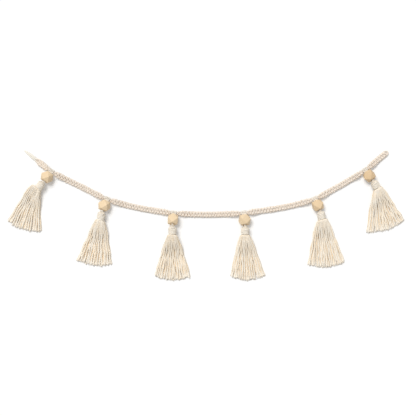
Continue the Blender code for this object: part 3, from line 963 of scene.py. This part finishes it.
    def middle_span(self, index: int) -> Thing:
        """The knots from one tassel to the next.

        Args:
            index: how many tassels lie left of the span's first one.

        Returns:
            The piece.
        """
        start, finish = self.line.tassel_arcs[index], self.line.tassel_arcs[index + 1]
        knots = self.half_knots(start + self.gap_half_length, finish - self.gap_half_length)
        cords = []
        for shares, lift in ((self.front_shares, self.bundle_lift), (self.back_shares, -self.bundle_lift)):
            points = self.bundle(start, lift, 1) + self.knot_points(knots, shares)
            points += self.bundle(finish, lift, -1)
            cords.append(self.run(self.narrowed(points), self.cord_radius))
        for sign in (1, -1):
            cords.append(self.run(self.filler_points(start, finish, sign), self.filler_radius))
        name = f"knotted_cords_{index + 1}_{index + 2}"
        piece = self.tree.sweep(name, cords, self.finishes["knots"], self.lay)
        hinge = (start + finish) / 2
        self.line.point(hinge - self.bend_reach)
        self.line.point(hinge + self.bend_reach)
        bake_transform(piece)
        knot_nodes = (f"knots_{index + 1}_right", f"knots_{index + 2}_left")
        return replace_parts(piece, *knot_nodes, *self.fillers(index + 2))

    def left_span(self) -> Thing:
        """The knots left of the first tassel, with the cord ends gathered into the tail.

        Returns:
            The piece.
        """
        gap, finish = self.gap_half_length, self.line.tassel_arcs[0]
        knots = self.half_knots(gap, finish - gap)
        working = ((self.front_shares, self.bundle_lift), (self.back_shares, -self.bundle_lift))
        signs = (1, -1)
        slimming = self.filler_radius / self.cord_radius
        cords = []
        for i, (across, height) in enumerate(self.tail_seats):
            tail, radii = self.tail_points(across * self.cord_radius, height * self.cord_radius)
            is_filler = i >= len(working)
            if is_filler:
                body = self.filler_points(gap, finish, signs[i - len(working)])
            else:
                shares, lift = working[i]
                body = self.knot_points(knots, shares) + self.bundle(finish, lift, -1)
            points = np.concatenate([tail, self.narrowed(body)])
            cord = self.run(points, self.cord_radius)
            arcs = spline_through(points, self.route_step)[:, 0]
            sizes = cord.radii * np.interp(arcs, tail[:, 0], radii)
            if is_filler:
                sizes *= 1 - (1 - slimming) * smooth_share((arcs + gap) / gap)
            # the cords are tinted fully towards the deep colour inside the band and stay paler out in the
            # tail
            cords.append(CordRun(cord.points, sizes, smooth_share(arcs / gap + HALF)))
        piece = self.tree.sweep("knotted_cords_tail_1", cords, self.finishes["tail"], self.lay)
        reach = self.tail_bend_reach
        self.line.point(-reach)
        self.line.point(reach)
        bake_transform(piece)
        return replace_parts(piece, "tail", "knots_1_left", *self.fillers(1))

    def tail_points(self, across: float, lift: float) -> tuple[np.ndarray, list[float]]:
        """One cord's points in the tail.

        Args:
            across: how far to the side the cord lies at the band.
            lift: how far above the axis it lies there.

        Returns:
            The points from the cord's tip to the band, and the share of its radius at each.
        """
        points, radii = [], []
        for along, width in reversed(self.tail_ring_shares):
            sink = self.cord_radius * self.tail_sink * width - self.half_thickness
            lowered = sink * smooth_share(along * self.tail_sink_haste)
            points.append((-self.tail_length * along, across * width, lift * width + lowered))
            radii.append(self.tail_swell * width**self.tail_taper)
        return np.array(points), radii

    def right_span(self) -> Thing:
        """The knots right of the last tassel, and the cords' folded middle where the knotting began.

        Returns:
            The piece, riding on the last section.
        """
        start, end = self.line.tassel_arcs[-1], self.line.length
        knots = self.half_knots(start + self.gap_half_length, end)
        working = self.bundle(start, self.bundle_lift, 1)
        working += self.knot_points(knots, self.front_shares, False)
        working += self.fold(end, self.fold_radius, -knots[-1][1], self.half_thickness * self.fold_lift_share)
        back = self.bundle(start, -self.bundle_lift, 1) + self.knot_points(knots, self.back_shares)
        filler = self.filler_points(start, end, 1)
        filler += self.fold(end + self.cord_radius, self.filler_offset, 1, 0.0)
        filler += self.filler_points(start, end, -1)[::-1]
        cords = [
            self.run(self.narrowed(working + back[::-1]), self.cord_radius),
            self.run(filler, self.filler_radius),
        ]
        piece = self.tree.sweep("knotted_cords_6_fold", cords, self.finishes["knots"], self.lay)
        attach(piece, "section_6")
        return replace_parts(piece, "knots_6_right", "starting_fold")

    def fold(self, arc: float, radius: float, side: int, lift: float) -> Points:
        """The half turn of a folded cord past the band's right end.

        Args:
            arc: the distance along of a place that lies the cord's radius before the half turn.
            radius: the half turn's radius.
            side: the side that it starts from.
            lift: how far above the axis it lies.

        Returns:
            Points as distance along, distance across and lift.
        """
        points = []
        for angle in map(math.radians, self.fold_degrees):
            along = arc + self.cord_radius + radius * self.fold_length_share * math.sin(angle)
            points.append((along, side * radius * math.cos(angle), lift))
        return points

    def build(self) -> list[Thing]:
        """Makes the band.

        Returns:
            Its pieces from left to right.
        """
        pieces = [self.left_span()]
        pieces += [self.middle_span(index) for index in range(len(self.line.tassel_arcs) - 1)]
        pieces.append(self.right_span())
        return pieces


@dataclass
class TasselCords:
    """What the cord parts of one tassel share: its site, the cord tree and their finish."""

    site: Site
    tree: CordTree
    finish: Material

    def sweep(self, name: str, runs: list[CordRun], lay: CordLay) -> Thing:
        """Sweeps a piece whose name ends with the tassel's number."""
        return self.tree.sweep(f"{name}_{self.site.number}", runs, self.finish, lay)


@dataclass
class Hitch(TasselCords):
    """The hanging cord, doubled: a lark's head of four turns over the band, four legs through the bead."""

    radius: float = 0.00122
    leg_radius: float = 0.00086
    leg_spot: float = 0.00094
    loop_radius: float = 0.00342
    inner_spread: float = 0.00130
    outer_spread: float = 0.00390
    bead_face: float = 0.0048
    leg_easing: float = 0.0014
    leg_end: float = 0.0226
    start_degrees: float = 66.0
    step_degrees: float = 36.0
    steps: int = 7
    spreading_steps: int = 3
    bar_degrees: float = 322.0
    bar_shares: Pair = (0.85, 0.4)
    bar_rise: float = 0.00035
    tuck_degrees: float = 318.0
    tuck_radius: float = 0.0019
    route_step: float = 0.0005
    lay: CordLay = CordLay(ply_depth_share=0.14)

    @staticmethod
    def around(across: float, radius: float, degrees: float) -> Triple:
        """A point at an angle round the band's axis, as distance across, out and above."""
        angle = -math.radians(degrees)
        return across, radius * math.cos(angle), radius * math.sin(angle)

    @staticmethod
    def mirrored(points: Points) -> Points:
        """The points on the other side, in the same order."""
        return [(-across, out, above) for across, out, above in points]

    def turn(self, spread: float, leg_above: float) -> Points:
        """One cord from the bead's far face, under the band and round it to the top.

        Args:
            spread: how far to the side the turn lies.
            leg_above: how far above the bead's axis its leg lies.

        Returns:
            Points as distance across, out and above.
        """
        points = [(self.leg_spot, self.leg_end, leg_above), (self.leg_spot, self.bead_face, leg_above)]
        for i in range(self.steps):
            widen = min((i + 1) / self.spreading_steps, 1.0)
            across = self.leg_spot + (spread - self.leg_spot) * widen
            points.append(self.around(across, self.loop_radius, self.start_degrees + i * self.step_degrees))
        return points

    def routes(self) -> list[Points]:
        """The hitch's three cords.

        Returns:
            The outer loop with its bar, and the two inner turns that end under the bar.
        """
        bar_radius = self.loop_radius + self.bar_rise
        outer = self.turn(self.outer_spread, -self.leg_spot)
        for share in self.bar_shares:
            outer.append(self.around(self.outer_spread * share, bar_radius, self.bar_degrees))
        inner = self.turn(self.inner_spread, self.leg_spot)
        inner.append(self.around(self.inner_spread, self.tuck_radius, self.tuck_degrees))
        return [outer + self.mirrored(outer)[::-1], inner, self.mirrored(inner)]

    def build(self) -> Thing:
        """Makes the hitch.

        Returns:
            The piece, riding on the hitch's body.
        """
        runs = []
        for route in self.routes():
            smooth = spline_through(route, self.route_step)
            in_leg = smooth_share((smooth[:, 1] - self.loop_radius) / self.leg_easing)
            radii = self.radius + (self.leg_radius - self.radius) * in_leg
            runs.append(CordRun(self.site.from_hitch(smooth), radii, np.zeros(len(smooth))))
        number = self.site.number
        piece = self.sweep("hitch_cord", runs, self.lay)
        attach(piece, f"hitch_{number}")
        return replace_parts(piece, f"hanging_cord_{number}")


@dataclass
class WoodBead:
    """A bead of six square and eight triangular faces, its edges eased and its hole countersunk.

    The pith is the middle of the growth rings: pith_across and pith_aside are the limits of its distance from
    the bead, in bead widths, and grain_tilt those of the grain's lean about grain_axis, in radians.
    """

    site: Site
    finish: Material
    half_width: float = 0.0090
    ease: float = 0.00060
    ease_segments: int = 3
    ease_profile: float = 0.6
    flat_degrees: float = 1.0
    hole_radius: float = 0.00236
    mouth_radius: float = 0.00300
    hole_sides: int = 40
    overrun: float = 0.0020
    sharp_degrees: float = 11.0
    pith_across: Pair = (0.9, 1.8)
    pith_aside: Pair = (-0.8, 0.8)
    grain_tilt: Pair = (0.2, 0.6)
    grain_axis: Triple = (1.0, 0.4, 0.0)

    def build(self) -> Thing:
        """Makes the bead.

        Returns:
            The piece, riding on the bead's body.
        """
        site = self.site
        roll = math.radians(site.shape.bead_roll)
        first = site.axle * math.cos(roll) + site.above * math.sin(roll)
        second = site.above * math.cos(roll) - site.axle * math.sin(roll)
        turn = Matrix((first, second, site.out)).transposed()
        solid = mesh_object(f"faceted_bead_{site.number}", self.faceted())
        solid.data.materials.append(self.finish)
        drill = mesh_object(f"bead_drill_{site.number}", self.drill())
        cut = solid.modifiers.new("hole", "BOOLEAN")
        cut.operation = "DIFFERENCE"
        cut.solver = "EXACT"
        cut.object = drill
        mesh = worked_out(solid)
        solid.modifiers.clear()
        solid.data = mesh
        bpy.data.objects.remove(drill)
        self.mark_grain(mesh)
        mesh.transform(Matrix.Translation(site.bead) @ turn.to_4x4())
        mesh.shade_smooth()
        mesh.set_sharp_from_angle(angle=math.radians(self.sharp_degrees))
        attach(solid, f"bead_{site.number}")
        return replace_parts(solid, f"bead_{site.number}")

    def faceted(self) -> bmesh.types.BMesh:
        """The undrilled bead about the origin, whose corners are the middles of a cube's edges.

        Returns:
            Its shape with eased edges.
        """
        signs = (-1, 1)
        corners = [(0, a, b) for a in signs for b in signs]
        corners += [(a, 0, b) for a in signs for b in signs]
        corners += [(a, b, 0) for a in signs for b in signs]
        shape = bmesh.new()
        for corner in corners:
            shape.verts.new(Vector(corner) * self.half_width)
        bmesh.ops.convex_hull(shape, input=shape.verts)
        flat = math.radians(self.flat_degrees)
        bmesh.ops.dissolve_limit(shape, angle_limit=flat, verts=shape.verts, edges=shape.edges)
        easing = {"offset": self.ease, "segments": self.ease_segments, "profile": self.ease_profile}
        bmesh.ops.bevel(shape, geom=shape.edges[:], affect="EDGES", **easing)
        return shape

    def drill(self) -> bmesh.types.BMesh:
        """The drill about the origin, with a countersink at each face.

        Returns:
            A turned shape.
        """
        sink = self.mouth_radius - self.hole_radius
        profile = [
            (self.mouth_radius + self.overrun, -self.half_width - self.overrun),
            (self.hole_radius, -self.half_width + sink),
            (self.hole_radius, self.half_width - sink),
            (self.mouth_radius + self.overrun, self.half_width + self.overrun),
        ]
        shape = bmesh.new()
        angles = [math.tau * i / self.hole_sides for i in range(self.hole_sides)]
        rows = []
        for radius, height in profile:
            ring = [(radius * math.cos(angle), radius * math.sin(angle), height) for angle in angles]
            rows.append([shape.verts.new(place) for place in ring])
        for low, high in zip(rows, rows[1:]):
            for i in range(self.hole_sides):
                j = (i + 1) % self.hole_sides
                shape.faces.new((low[i], low[j], high[j], high[i]))
        shape.faces.new(rows[0][::-1])
        shape.faces.new(rows[-1])
        return shape

    def mark_grain(self, mesh: bpy.types.Mesh) -> None:
        """Writes where each point lies in the block that the bead was cut from, and the wood's tone.

        Args:
            mesh: the bead about the origin, before its turn.
        """
        dice = np.random.default_rng(self.site.number)
        places = np.zeros(len(mesh.vertices) * 3, np.float32)
        mesh.vertices.foreach_get("co", places)
        pith = np.array([dice.uniform(*self.pith_across), dice.uniform(*self.pith_aside), 0.0])
        tilt = np.array(Matrix.Rotation(dice.uniform(*self.grain_tilt), 3, self.grain_axis))
        seated = places.reshape(-1, 3) @ tilt.T + pith * 2 * self.half_width
        attribute = mesh.attributes.new(BEAD_FINISH.place, "FLOAT_VECTOR", "POINT")
        attribute.data.foreach_set("vector", seated.astype(np.float32).ravel())
        tone = mesh.attributes.new(BEAD_FINISH.tone, "FLOAT", "POINT")
        tone.data.foreach_set("value", np.full(len(seated), self.site.shape.wood_tone, np.float32))


@dataclass
class TasselNeck(TasselCords):
    """The tassel's head of folded cords and the cord wound round its neck."""

    fold_cords: int = 6
    fold_radius: float = 0.00112
    fold_spacing: float = 0.00208
    dome_radii: tuple[float, ...] = (0.0, 0.00095, 0.0027, 0.0044, 0.0053)
    dome_alongs: tuple[float, ...] = (0.0018, 0.0024, 0.0034, 0.0046, 0.0056)
    over_shares: tuple[float, ...] = (-1.0, -0.85, -0.5, 0.0, 0.5, 0.85, 1.0)
    waist: float = 0.0078
    waist_share: float = 0.66
    fold_end: float = 0.0110
    wrap_cord_radius: float = 0.00143
    wrap_radius: float = 0.00625
    wrap_pitch: float = 0.00258
    wrap_turns: float = 4.25
    wrap_start: float = 0.0064
    tuck_turns: float = 0.14
    tuck_depth: float = 0.0017
    unevenness: float = 0.00012
    uneven_waves: int = 3
    points_per_turn: int = 16
    link_spot: float = 0.00094
    link_radius: float = 0.00080
    link_overlap: float = 0.0006
    link_depth: float = 0.0040
    route_step: float = 0.0006
    head_lay: CordLay = CordLay()
    wrap_lay: CordLay = CordLay(turn_length=0.011, ply_depth_share=0.12)
    first_seed: int = 100

    def head(self) -> Thing:
        """The cords folded over the hanging cord into a dome, side by side, down into the wrap.

        Returns:
            The piece, riding on the tassel's body.
        """
        runs = []
        middle = (self.fold_cords - 1) / 2
        for i in range(self.fold_cords):
            across = (i - middle) * self.fold_spacing
            reach = math.sqrt(self.dome_radii[-1] ** 2 - across**2)
            over = []
            for share in self.over_shares:
                along = np.interp(math.hypot(across, reach * share), self.dome_radii, self.dome_alongs)
                over.append((across, reach * share, float(along)))
            drawn, low = across * self.waist_share, reach * self.waist_share
            first = [(drawn, -low, self.fold_end), (drawn, -low, self.waist)]
            last = [(drawn, low, self.waist), (drawn, low, self.fold_end)]
            smooth = spline_through(first + over + last, self.route_step)
            runs.append(even_run(self.site.from_neck(smooth), self.fold_radius))
        piece = self.sweep("folded_head", runs + self.links(), self.head_lay)
        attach(piece, f"tassel_{self.site.number}")
        return piece

    def links(self) -> list[CordRun]:
        """The hanging cord's four ends.

        Returns:
            Stretches from the bead's mouth down into the folded head.
        """
        site = self.site
        cross = site.cross if site.cross.dot(site.axle) > 0 else -site.cross
        runs = []
        for side, rise in ((1, 1), (1, -1), (-1, 1), (-1, -1)):
            spot = (site.axle * side + site.above * rise) * self.link_spot
            inner = (cross * side + site.neck_up * rise) * self.link_spot
            points = [
                site.mouth - site.out * self.link_overlap + spot,
                site.mouth + spot,
                site.neck_start + site.down * self.link_depth + inner,
            ]
            runs.append(even_run(spline_through(points, self.route_step), self.link_radius))
        return runs

    def wrap(self) -> Thing:
        """The cord wound round the neck, both ends tucked in under its turns.

        Returns:
            The piece, riding on the tassel's body.
        """
        number = self.site.number
        count = round(self.wrap_turns * self.points_per_turn)
        phase = np.random.default_rng(self.first_seed + number).uniform(0, math.tau)
        points = []
        for i in range(count + 1):
            turns = self.wrap_turns * i / count
            angle = math.tau * turns + phase
            from_end = min(turns, self.wrap_turns - turns)
            tuck = 1 - smooth_share(from_end / self.tuck_turns)
            wobble = self.unevenness * math.sin(self.uneven_waves * angle + phase)
            radius = self.wrap_radius - self.tuck_depth * tuck + wobble
            across = radius * math.cos(angle)
            along = self.wrap_start + self.wrap_pitch * turns + self.site.shape.coil_slant * across
            points.append((across, radius * math.sin(angle), along))
        smooth = self.site.from_neck(spline_through(points, self.route_step))
        piece = self.sweep("neck_coil", [even_run(smooth, self.wrap_cord_radius)], self.wrap_lay)
        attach(piece, f"tassel_{number}")
        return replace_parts(piece, f"neck_wrap_{number}")

    def build(self) -> list[Thing]:
        """Makes the neck.

        Returns:
            The head and the wrap.
        """
        pieces = [self.head(), self.wrap()]
        return pieces


@dataclass(frozen=True)
class Layer:
    """One layer of a fringe.

    Its outer cords lie edge_share of the fan's width in from the fan's edges. The cords leave the neck
    root_lift above its axis and come to rest at rest_height. Each layer has its own painted shade: the lower
    layers are made darker and warmer, as if shaded by the ones above.
    """

    cords: int
    edge_share: float
    root_lift: float
    rest_height: float
    # painted shade of this layer: darker and warmer for the lower layers
    tint: float


@dataclass
class Fringe(TasselCords):
    """The tassel's skirt: cut cords that fall from the neck and fan out over the floor.

    Each pair named range holds the limits of a random share, and each value named spread is the size of a
    random difference. wave_haste says how many times sooner than its end a cord waves in full.
    """

    skirt_length: float = 0.083
    cord_radius: float = 0.00148
    cord_radius_spread: float = 0.05
    gathered_share: float = 0.54
    gathered_length: float = 0.034
    root_radius: float = 0.0044
    root_start: float = 0.0130
    root_end: float = 0.0176
    shoulder_radius: float = 0.0092
    shoulder_start_share: float = 0.82
    shoulder_length: float = 0.0100
    shoulder_lift_share: float = 1.7
    fall_length: float = 0.0450
    settling_share: float = 0.18
    floor_room: float = 1.02
    wave_height: float = 0.0007
    wave_height_range: Pair = (0.5, 1.3)
    wave_length: float = 0.0290
    wave_length_range: Pair = (0.8, 1.25)
    wave_phase_range: Pair = (-0.7, 0.7)
    wave_phase_drift: float = 3.0
    wave_haste: float = 3.0
    ripple_share: float = 0.25
    ripple_phase: float = 2.0
    rise: float = 0.0006
    tint_spread: float = 0.26
    trim_spread: float = 0.012
    place_spread: float = 0.009
    end_length: float = 0.0040
    tint_end_lengths: float = 4.0
    swell_share: float = 0.20
    swell_reach: float = 0.8
    rounding_reach: float = 0.28
    rounding_start: float = 0.72
    rounding_least: float = 0.12
    fibres: int = 8
    fibre_radius: float = 0.00012
    fibre_taper: Triple = (1.0, 0.8, 0.3)
    fibre_length: float = 0.0024
    fibre_length_range: Pair = (0.4, 1.0)
    fibre_set_back: float = 0.0010
    fibre_scatter: float = 0.0006
    fibre_aim_points: int = 4
    fibre_aim_spread: float = 0.45
    fibre_aim_shares: Triple = (1.0, 1.0, 0.5)
    fibre_droop: float = 0.4
    route_step: float = 0.0010
    stations: int = 15
    first_part: float = 0.02
    seed_step: int = 10
    cord_lay: CordLay = CordLay(turn_length=0.0120, ply_depth_share=0.12, step=0.0013, sides=10)
    fibre_lay: CordLay = CordLay(sides=3, ply_depth_share=0.0, step=0.0016)
    # the last number is each layer's painted shade: most for the bottom layer, none for the top
    layers: tuple[Layer, ...] = (
        Layer(20, 0.0, -0.0036, 0.0015, 0.40),
        Layer(16, 0.02, 0.0, 0.0029, 0.20),
        Layer(13, 0.03, 0.0038, 0.0044, 0.0),
    )

    def fan_end(self, share: float) -> Pair:
        """Where a cord of the fan ends.

        Args:
            share: its place in the fan, from nought at the left to one.

        Returns:
            Its reach from the neck's end, and how far across.
        """
        left, middle, right = self.site.shape.reach_shares
        bow = 4 * share * (1 - share)
        reach = left + (right - left) * share + (middle - (left + right) / 2) * bow
        first, last = self.site.shape.spread_shares
        return self.skirt_length * reach, self.skirt_length * (first + (last - first) * share)

    def strand(self, layer: Layer, place: int, dice: Dice) -> CordRun:
        """One cut cord.

        Args:
            layer: the layer that it lies in.
            place: its place in the layer, from the left.
            dice: the source of its small unevenness.

        Returns:
            The cord from inside the wrap to its soft cut end.
        """
        site = self.site
        shape = site.shape
        even = place / (layer.cords - 1)
        share = layer.edge_share + (1 - 2 * layer.edge_share) * even
        share = float(np.clip(share + self.place_spread * dice.standard_normal(), 0.0, 1.0))
        reach, end_across = self.fan_end(share)
        reach *= 1 + self.trim_spread * dice.standard_normal()
        inner_across = self.root_radius * (2 * even - 1)
        left, right = shape.shoulder_shares
        root_across = self.shoulder_radius * (left + (right - left) * even) * (2 * even - 1)
        lift_room = math.sqrt(max(self.root_radius**2 - inner_across**2, 0.0))
        root_lift = float(np.clip(layer.root_lift, -lift_room, lift_room))
        neck = np.array([(inner_across, root_lift, along) for along in (self.root_start, self.root_end)])
        points = [tuple(row) for row in site.from_neck(neck)]
        base = Vector((site.neck_end.x, site.neck_end.y, 0.0))
        phase = dice.uniform(*self.wave_phase_range) + self.wave_phase_drift * share
        height = self.wave_height * dice.uniform(*self.wave_height_range)
        wave_length = self.wave_length * dice.uniform(*self.wave_length_range)
        rise = self.rise * dice.uniform(-1.0, 1.0)
        for part in (self.first_part, *np.linspace(0.0, 1.0, self.stations + 1)[1:]):
            along = reach * part
            opening = 1 - smooth_share(along / self.shoulder_length)
            start_across = root_across * (1 - (1 - self.shoulder_start_share) * opening)
            across = start_across + (end_across - start_across) * part**shape.fan_power
            wave = height * math.sin(math.tau * along / wave_length + phase)
            across += wave * smooth_share(self.wave_haste * part)
            fall = 1 - smooth_share(along / self.fall_length)
            floor = layer.rest_height * (1 - self.settling_share * part) + rise
            lift = floor + (site.neck_end.z + root_lift * self.shoulder_lift_share - floor) * fall
            ripple = math.cos(math.tau * along / self.wave_length + self.ripple_phase * phase)
            lift = max(lift + self.ripple_share * height * ripple * part, self.cord_radius * self.floor_room)
            points.append(tuple(base + site.run * along + site.cross * across + UP * lift))
        smooth = spline_through(points, self.route_step)
        # the layer's painted shade plus a random tone of the cord's own
        return self.with_soft_end(smooth, layer.tint + self.tint_spread * dice.uniform() ** 2, dice)

    def with_soft_end(self, route: np.ndarray, tint: float, dice: Dice) -> CordRun:
        """Gives a cord its thickness and its end, which swells a little as it comes unlaid.

        Args:
            route: the cord's route, whose low points are raised off the floor.
            tint: the layer's painted shade plus a random tone, which fade towards the end.
            dice: the source of its small unevenness.

        Returns:
            The cord, gathered at its root and rounded at its end.
        """
        from_root = lengths_along(route)
        to_end = from_root[-1] - from_root
        near = np.clip(1 - to_end / self.end_length, 0.0, 1.0)
        swell = 1 + self.swell_share * np.sin(np.pi * near * self.swell_reach)
        bent = np.clip(near - self.rounding_start, 0.0, 1.0) ** 2 / self.rounding_reach**2
        rounding = np.sqrt(np.clip(1 - bent, self.rounding_least, 1.0))
        gathered = 1 - (1 - self.gathered_share) * (1 - smooth_share(from_root / self.gathered_length))
        thick = self.cord_radius * (1 + self.cord_radius_spread * dice.standard_normal())
        radii = thick * swell * rounding * gathered
        route[:, 2] = np.maximum(route[:, 2], radii)
        # the painted shade and tone fade out near the cut end, so the ends show paler
        return CordRun(route, radii, tint * smooth_share(to_end / (self.tint_end_lengths * self.end_length)))

    def fibres_of(self, run: CordRun, dice: Dice) -> list[CordRun]:
        """The loose fibres at a cord's cut end.

        Args:
            run: the cord.
            dice: the source of their places, aims and lengths.

        Returns:
            The fibres.
        """
        tip = run.points[-1]
        way = tip - run.points[-self.fibre_aim_points]
        way /= np.linalg.norm(way)
        runs = []
        for _ in range(self.fibres):
            start = tip - way * self.fibre_set_back + self.fibre_scatter * dice.standard_normal(3)
            aim = way + self.fibre_aim_spread * dice.standard_normal(3) * np.array(self.fibre_aim_shares)
            length = self.fibre_length * dice.uniform(*self.fibre_length_range)
            droop = np.array([0.0, 0.0, -self.fibre_droop * length])
            places = np.array([start, start + aim * length * HALF, start + aim * length + droop])
            places[:, 2] = np.maximum(places[:, 2], self.fibre_radius)
            runs.append(CordRun(places, self.fibre_radius * np.array(self.fibre_taper), np.zeros(3)))
        return runs

    def build(self) -> list[Thing]:
        """Makes the skirt.

        Returns:
            The cords, and the loose fibres at their ends.
        """
        number = self.site.number
        dice = np.random.default_rng(self.seed_step * number)
        cords = [self.strand(layer, place, dice) for layer in self.layers for place in range(layer.cords)]
        fibres = [fibre for cord in cords for fibre in self.fibres_of(cord, dice)]
        skirt = self.sweep("fringe_cords", cords, self.cord_lay)
        fuzz = self.sweep("fringe_fibres", fibres, self.fibre_lay)
        for piece in (skirt, fuzz):
            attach(piece, f"tassel_{number}")
        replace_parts(skirt, f"tassel_{number}")
        return [skirt, fuzz]


@dataclass
class Studio:
    """A plain white floor, soft light from the upper left, and a camera straight above."""

    frame_width: float = 0.7696
    view_degrees: float = 20.0
    view_centre: Pair = (0.0038, 0.0125)
    sensor: float = 36.0
    floor_half_size: float = 4.0
    floor_color: tuple[float, float, float, float] = (0.88, 0.88, 0.88, 1.0)
    floor_lift: float = 0.12
    key_strength: float = 2.15
    key_softness_degrees: float = 26.0
    key_place: Triple = (-0.60, 1.0, 2.2)
    sky_strength: float = 0.44

    def build(self) -> None:
        """Makes the floor, the lights and the camera."""
        self.floor()
        self.lights()
        self.camera()

    def floor(self) -> None:
        """The floor, which shows white to the camera and keeps its shadows."""
        shape = bmesh.new()
        bmesh.ops.create_grid(shape, x_segments=1, y_segments=1, size=self.floor_half_size)
        thing = mesh_object("studio_floor", shape)
        made, maker, shader = new_material("studio_floor")
        dull = {"Base Color": self.floor_color, "Roughness": 1.0, "Specular IOR Level": 0.0}
        for name, value in dull.items():
            maker.feed(shader.inputs[name], value)
        lift = maker.times(maker.seen(), self.floor_lift)
        glow = maker.out("ShaderNodeEmission", {"Strength": lift})
        both = maker.out("ShaderNodeAddShader", {0: shader.outputs["BSDF"], 1: glow})
        maker.feed(made.node_tree.nodes["Material Output"].inputs["Surface"], both)
        thing.data.materials.append(made)

    def lights(self) -> None:
        """One soft distant lamp, and an even sky that the camera sees as white."""
        lamp = bpy.data.lights.new("key", "SUN")
        lamp.energy = self.key_strength
        lamp.angle = math.radians(self.key_softness_degrees)
        key = linked("key", lamp)
        key.location = self.key_place
        key.rotation_euler = (-key.location).to_track_quat("-Z", "Y").to_euler()
        world = bpy.data.worlds.new("sky")
        world.use_nodes = True
        sky = world.node_tree.nodes["Background"]
        maker = NodeMaker(world.node_tree)
        maker.feed(sky.inputs["Color"], WHITE)
        maker.feed(sky.inputs["Strength"], maker.math("MAXIMUM", maker.seen(), self.sky_strength))
        bpy.context.scene.world = world

    def camera(self) -> None:
        """A long lens straight above the garland, with the photograph's framing."""
        eye = bpy.data.cameras.new("camera")
        eye.sensor_width = self.sensor
        half = math.radians(self.view_degrees) / 2
        eye.lens = self.sensor / 2 / math.tan(half)
        thing = linked("camera", eye)
        thing.location = (*self.view_centre, self.frame_width / 2 / math.tan(half))
        bpy.context.scene.camera = thing
        bpy.context.scene.view_settings.view_transform = "Standard"


# each finish: crest colour, groove colour for painted groove shade with streaks, and deep colour for painted
# shade and random tone
CORD_FINISHES = {
    "knots": CordFinish("knotted_cotton", (0.93, 0.85, 0.76), (0.83, 0.72, 0.60), (0.80, 0.65, 0.50)),
    "tail": CordFinish("tail_cotton", (0.96, 0.93, 0.85), (0.88, 0.83, 0.72), (0.88, 0.78, 0.67)),
    "hitch": CordFinish("hitch_cotton", (0.95, 0.90, 0.82), (0.87, 0.79, 0.68), (0.86, 0.75, 0.60)),
    "neck": CordFinish("neck_cotton", (0.96, 0.90, 0.81), (0.87, 0.79, 0.66), (0.85, 0.74, 0.57)),
    "fringe": CordFinish("fringe_cotton", (0.98, 0.93, 0.84), (0.92, 0.82, 0.67), (0.88, 0.69, 0.45)),
}
BEAD_FINISH = WoodFinish("pale_wood", (0.90, 0.73, 0.50), (0.70, 0.50, 0.29), (0.54, 0.35, 0.18))


def main() -> None:
    """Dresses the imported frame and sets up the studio."""
    logging.basicConfig(level=logging.INFO, format="%(name)s: %(message)s")
    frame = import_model()
    tree = CordTree()
    cloths = {name: finish.material() for name, finish in CORD_FINISHES.items()}
    wood = BEAD_FINISH.material()
    sites = read_sites(frame["joints"])
    line = BandLine(BAND_LINE_SHARES, GARLAND_LENGTH)
    line.seat([site.hitch for site in sites])
    pieces = KnottedBand(line, tree, cloths).build()
    for site in sites:
        pieces.append(Hitch(site, tree, cloths["hitch"]).build())
        pieces.append(WoodBead(site, wood).build())
        pieces += TasselNeck(site, tree, cloths["neck"]).build()
        pieces += Fringe(site, tree, cloths["fringe"]).build()
    Studio().build()
    for piece in pieces:
        piece.data.calc_loop_triangles()
        log.info("%s: %d triangles", piece.name, len(piece.data.loop_triangles))


if __name__ == "__main__":
    main()
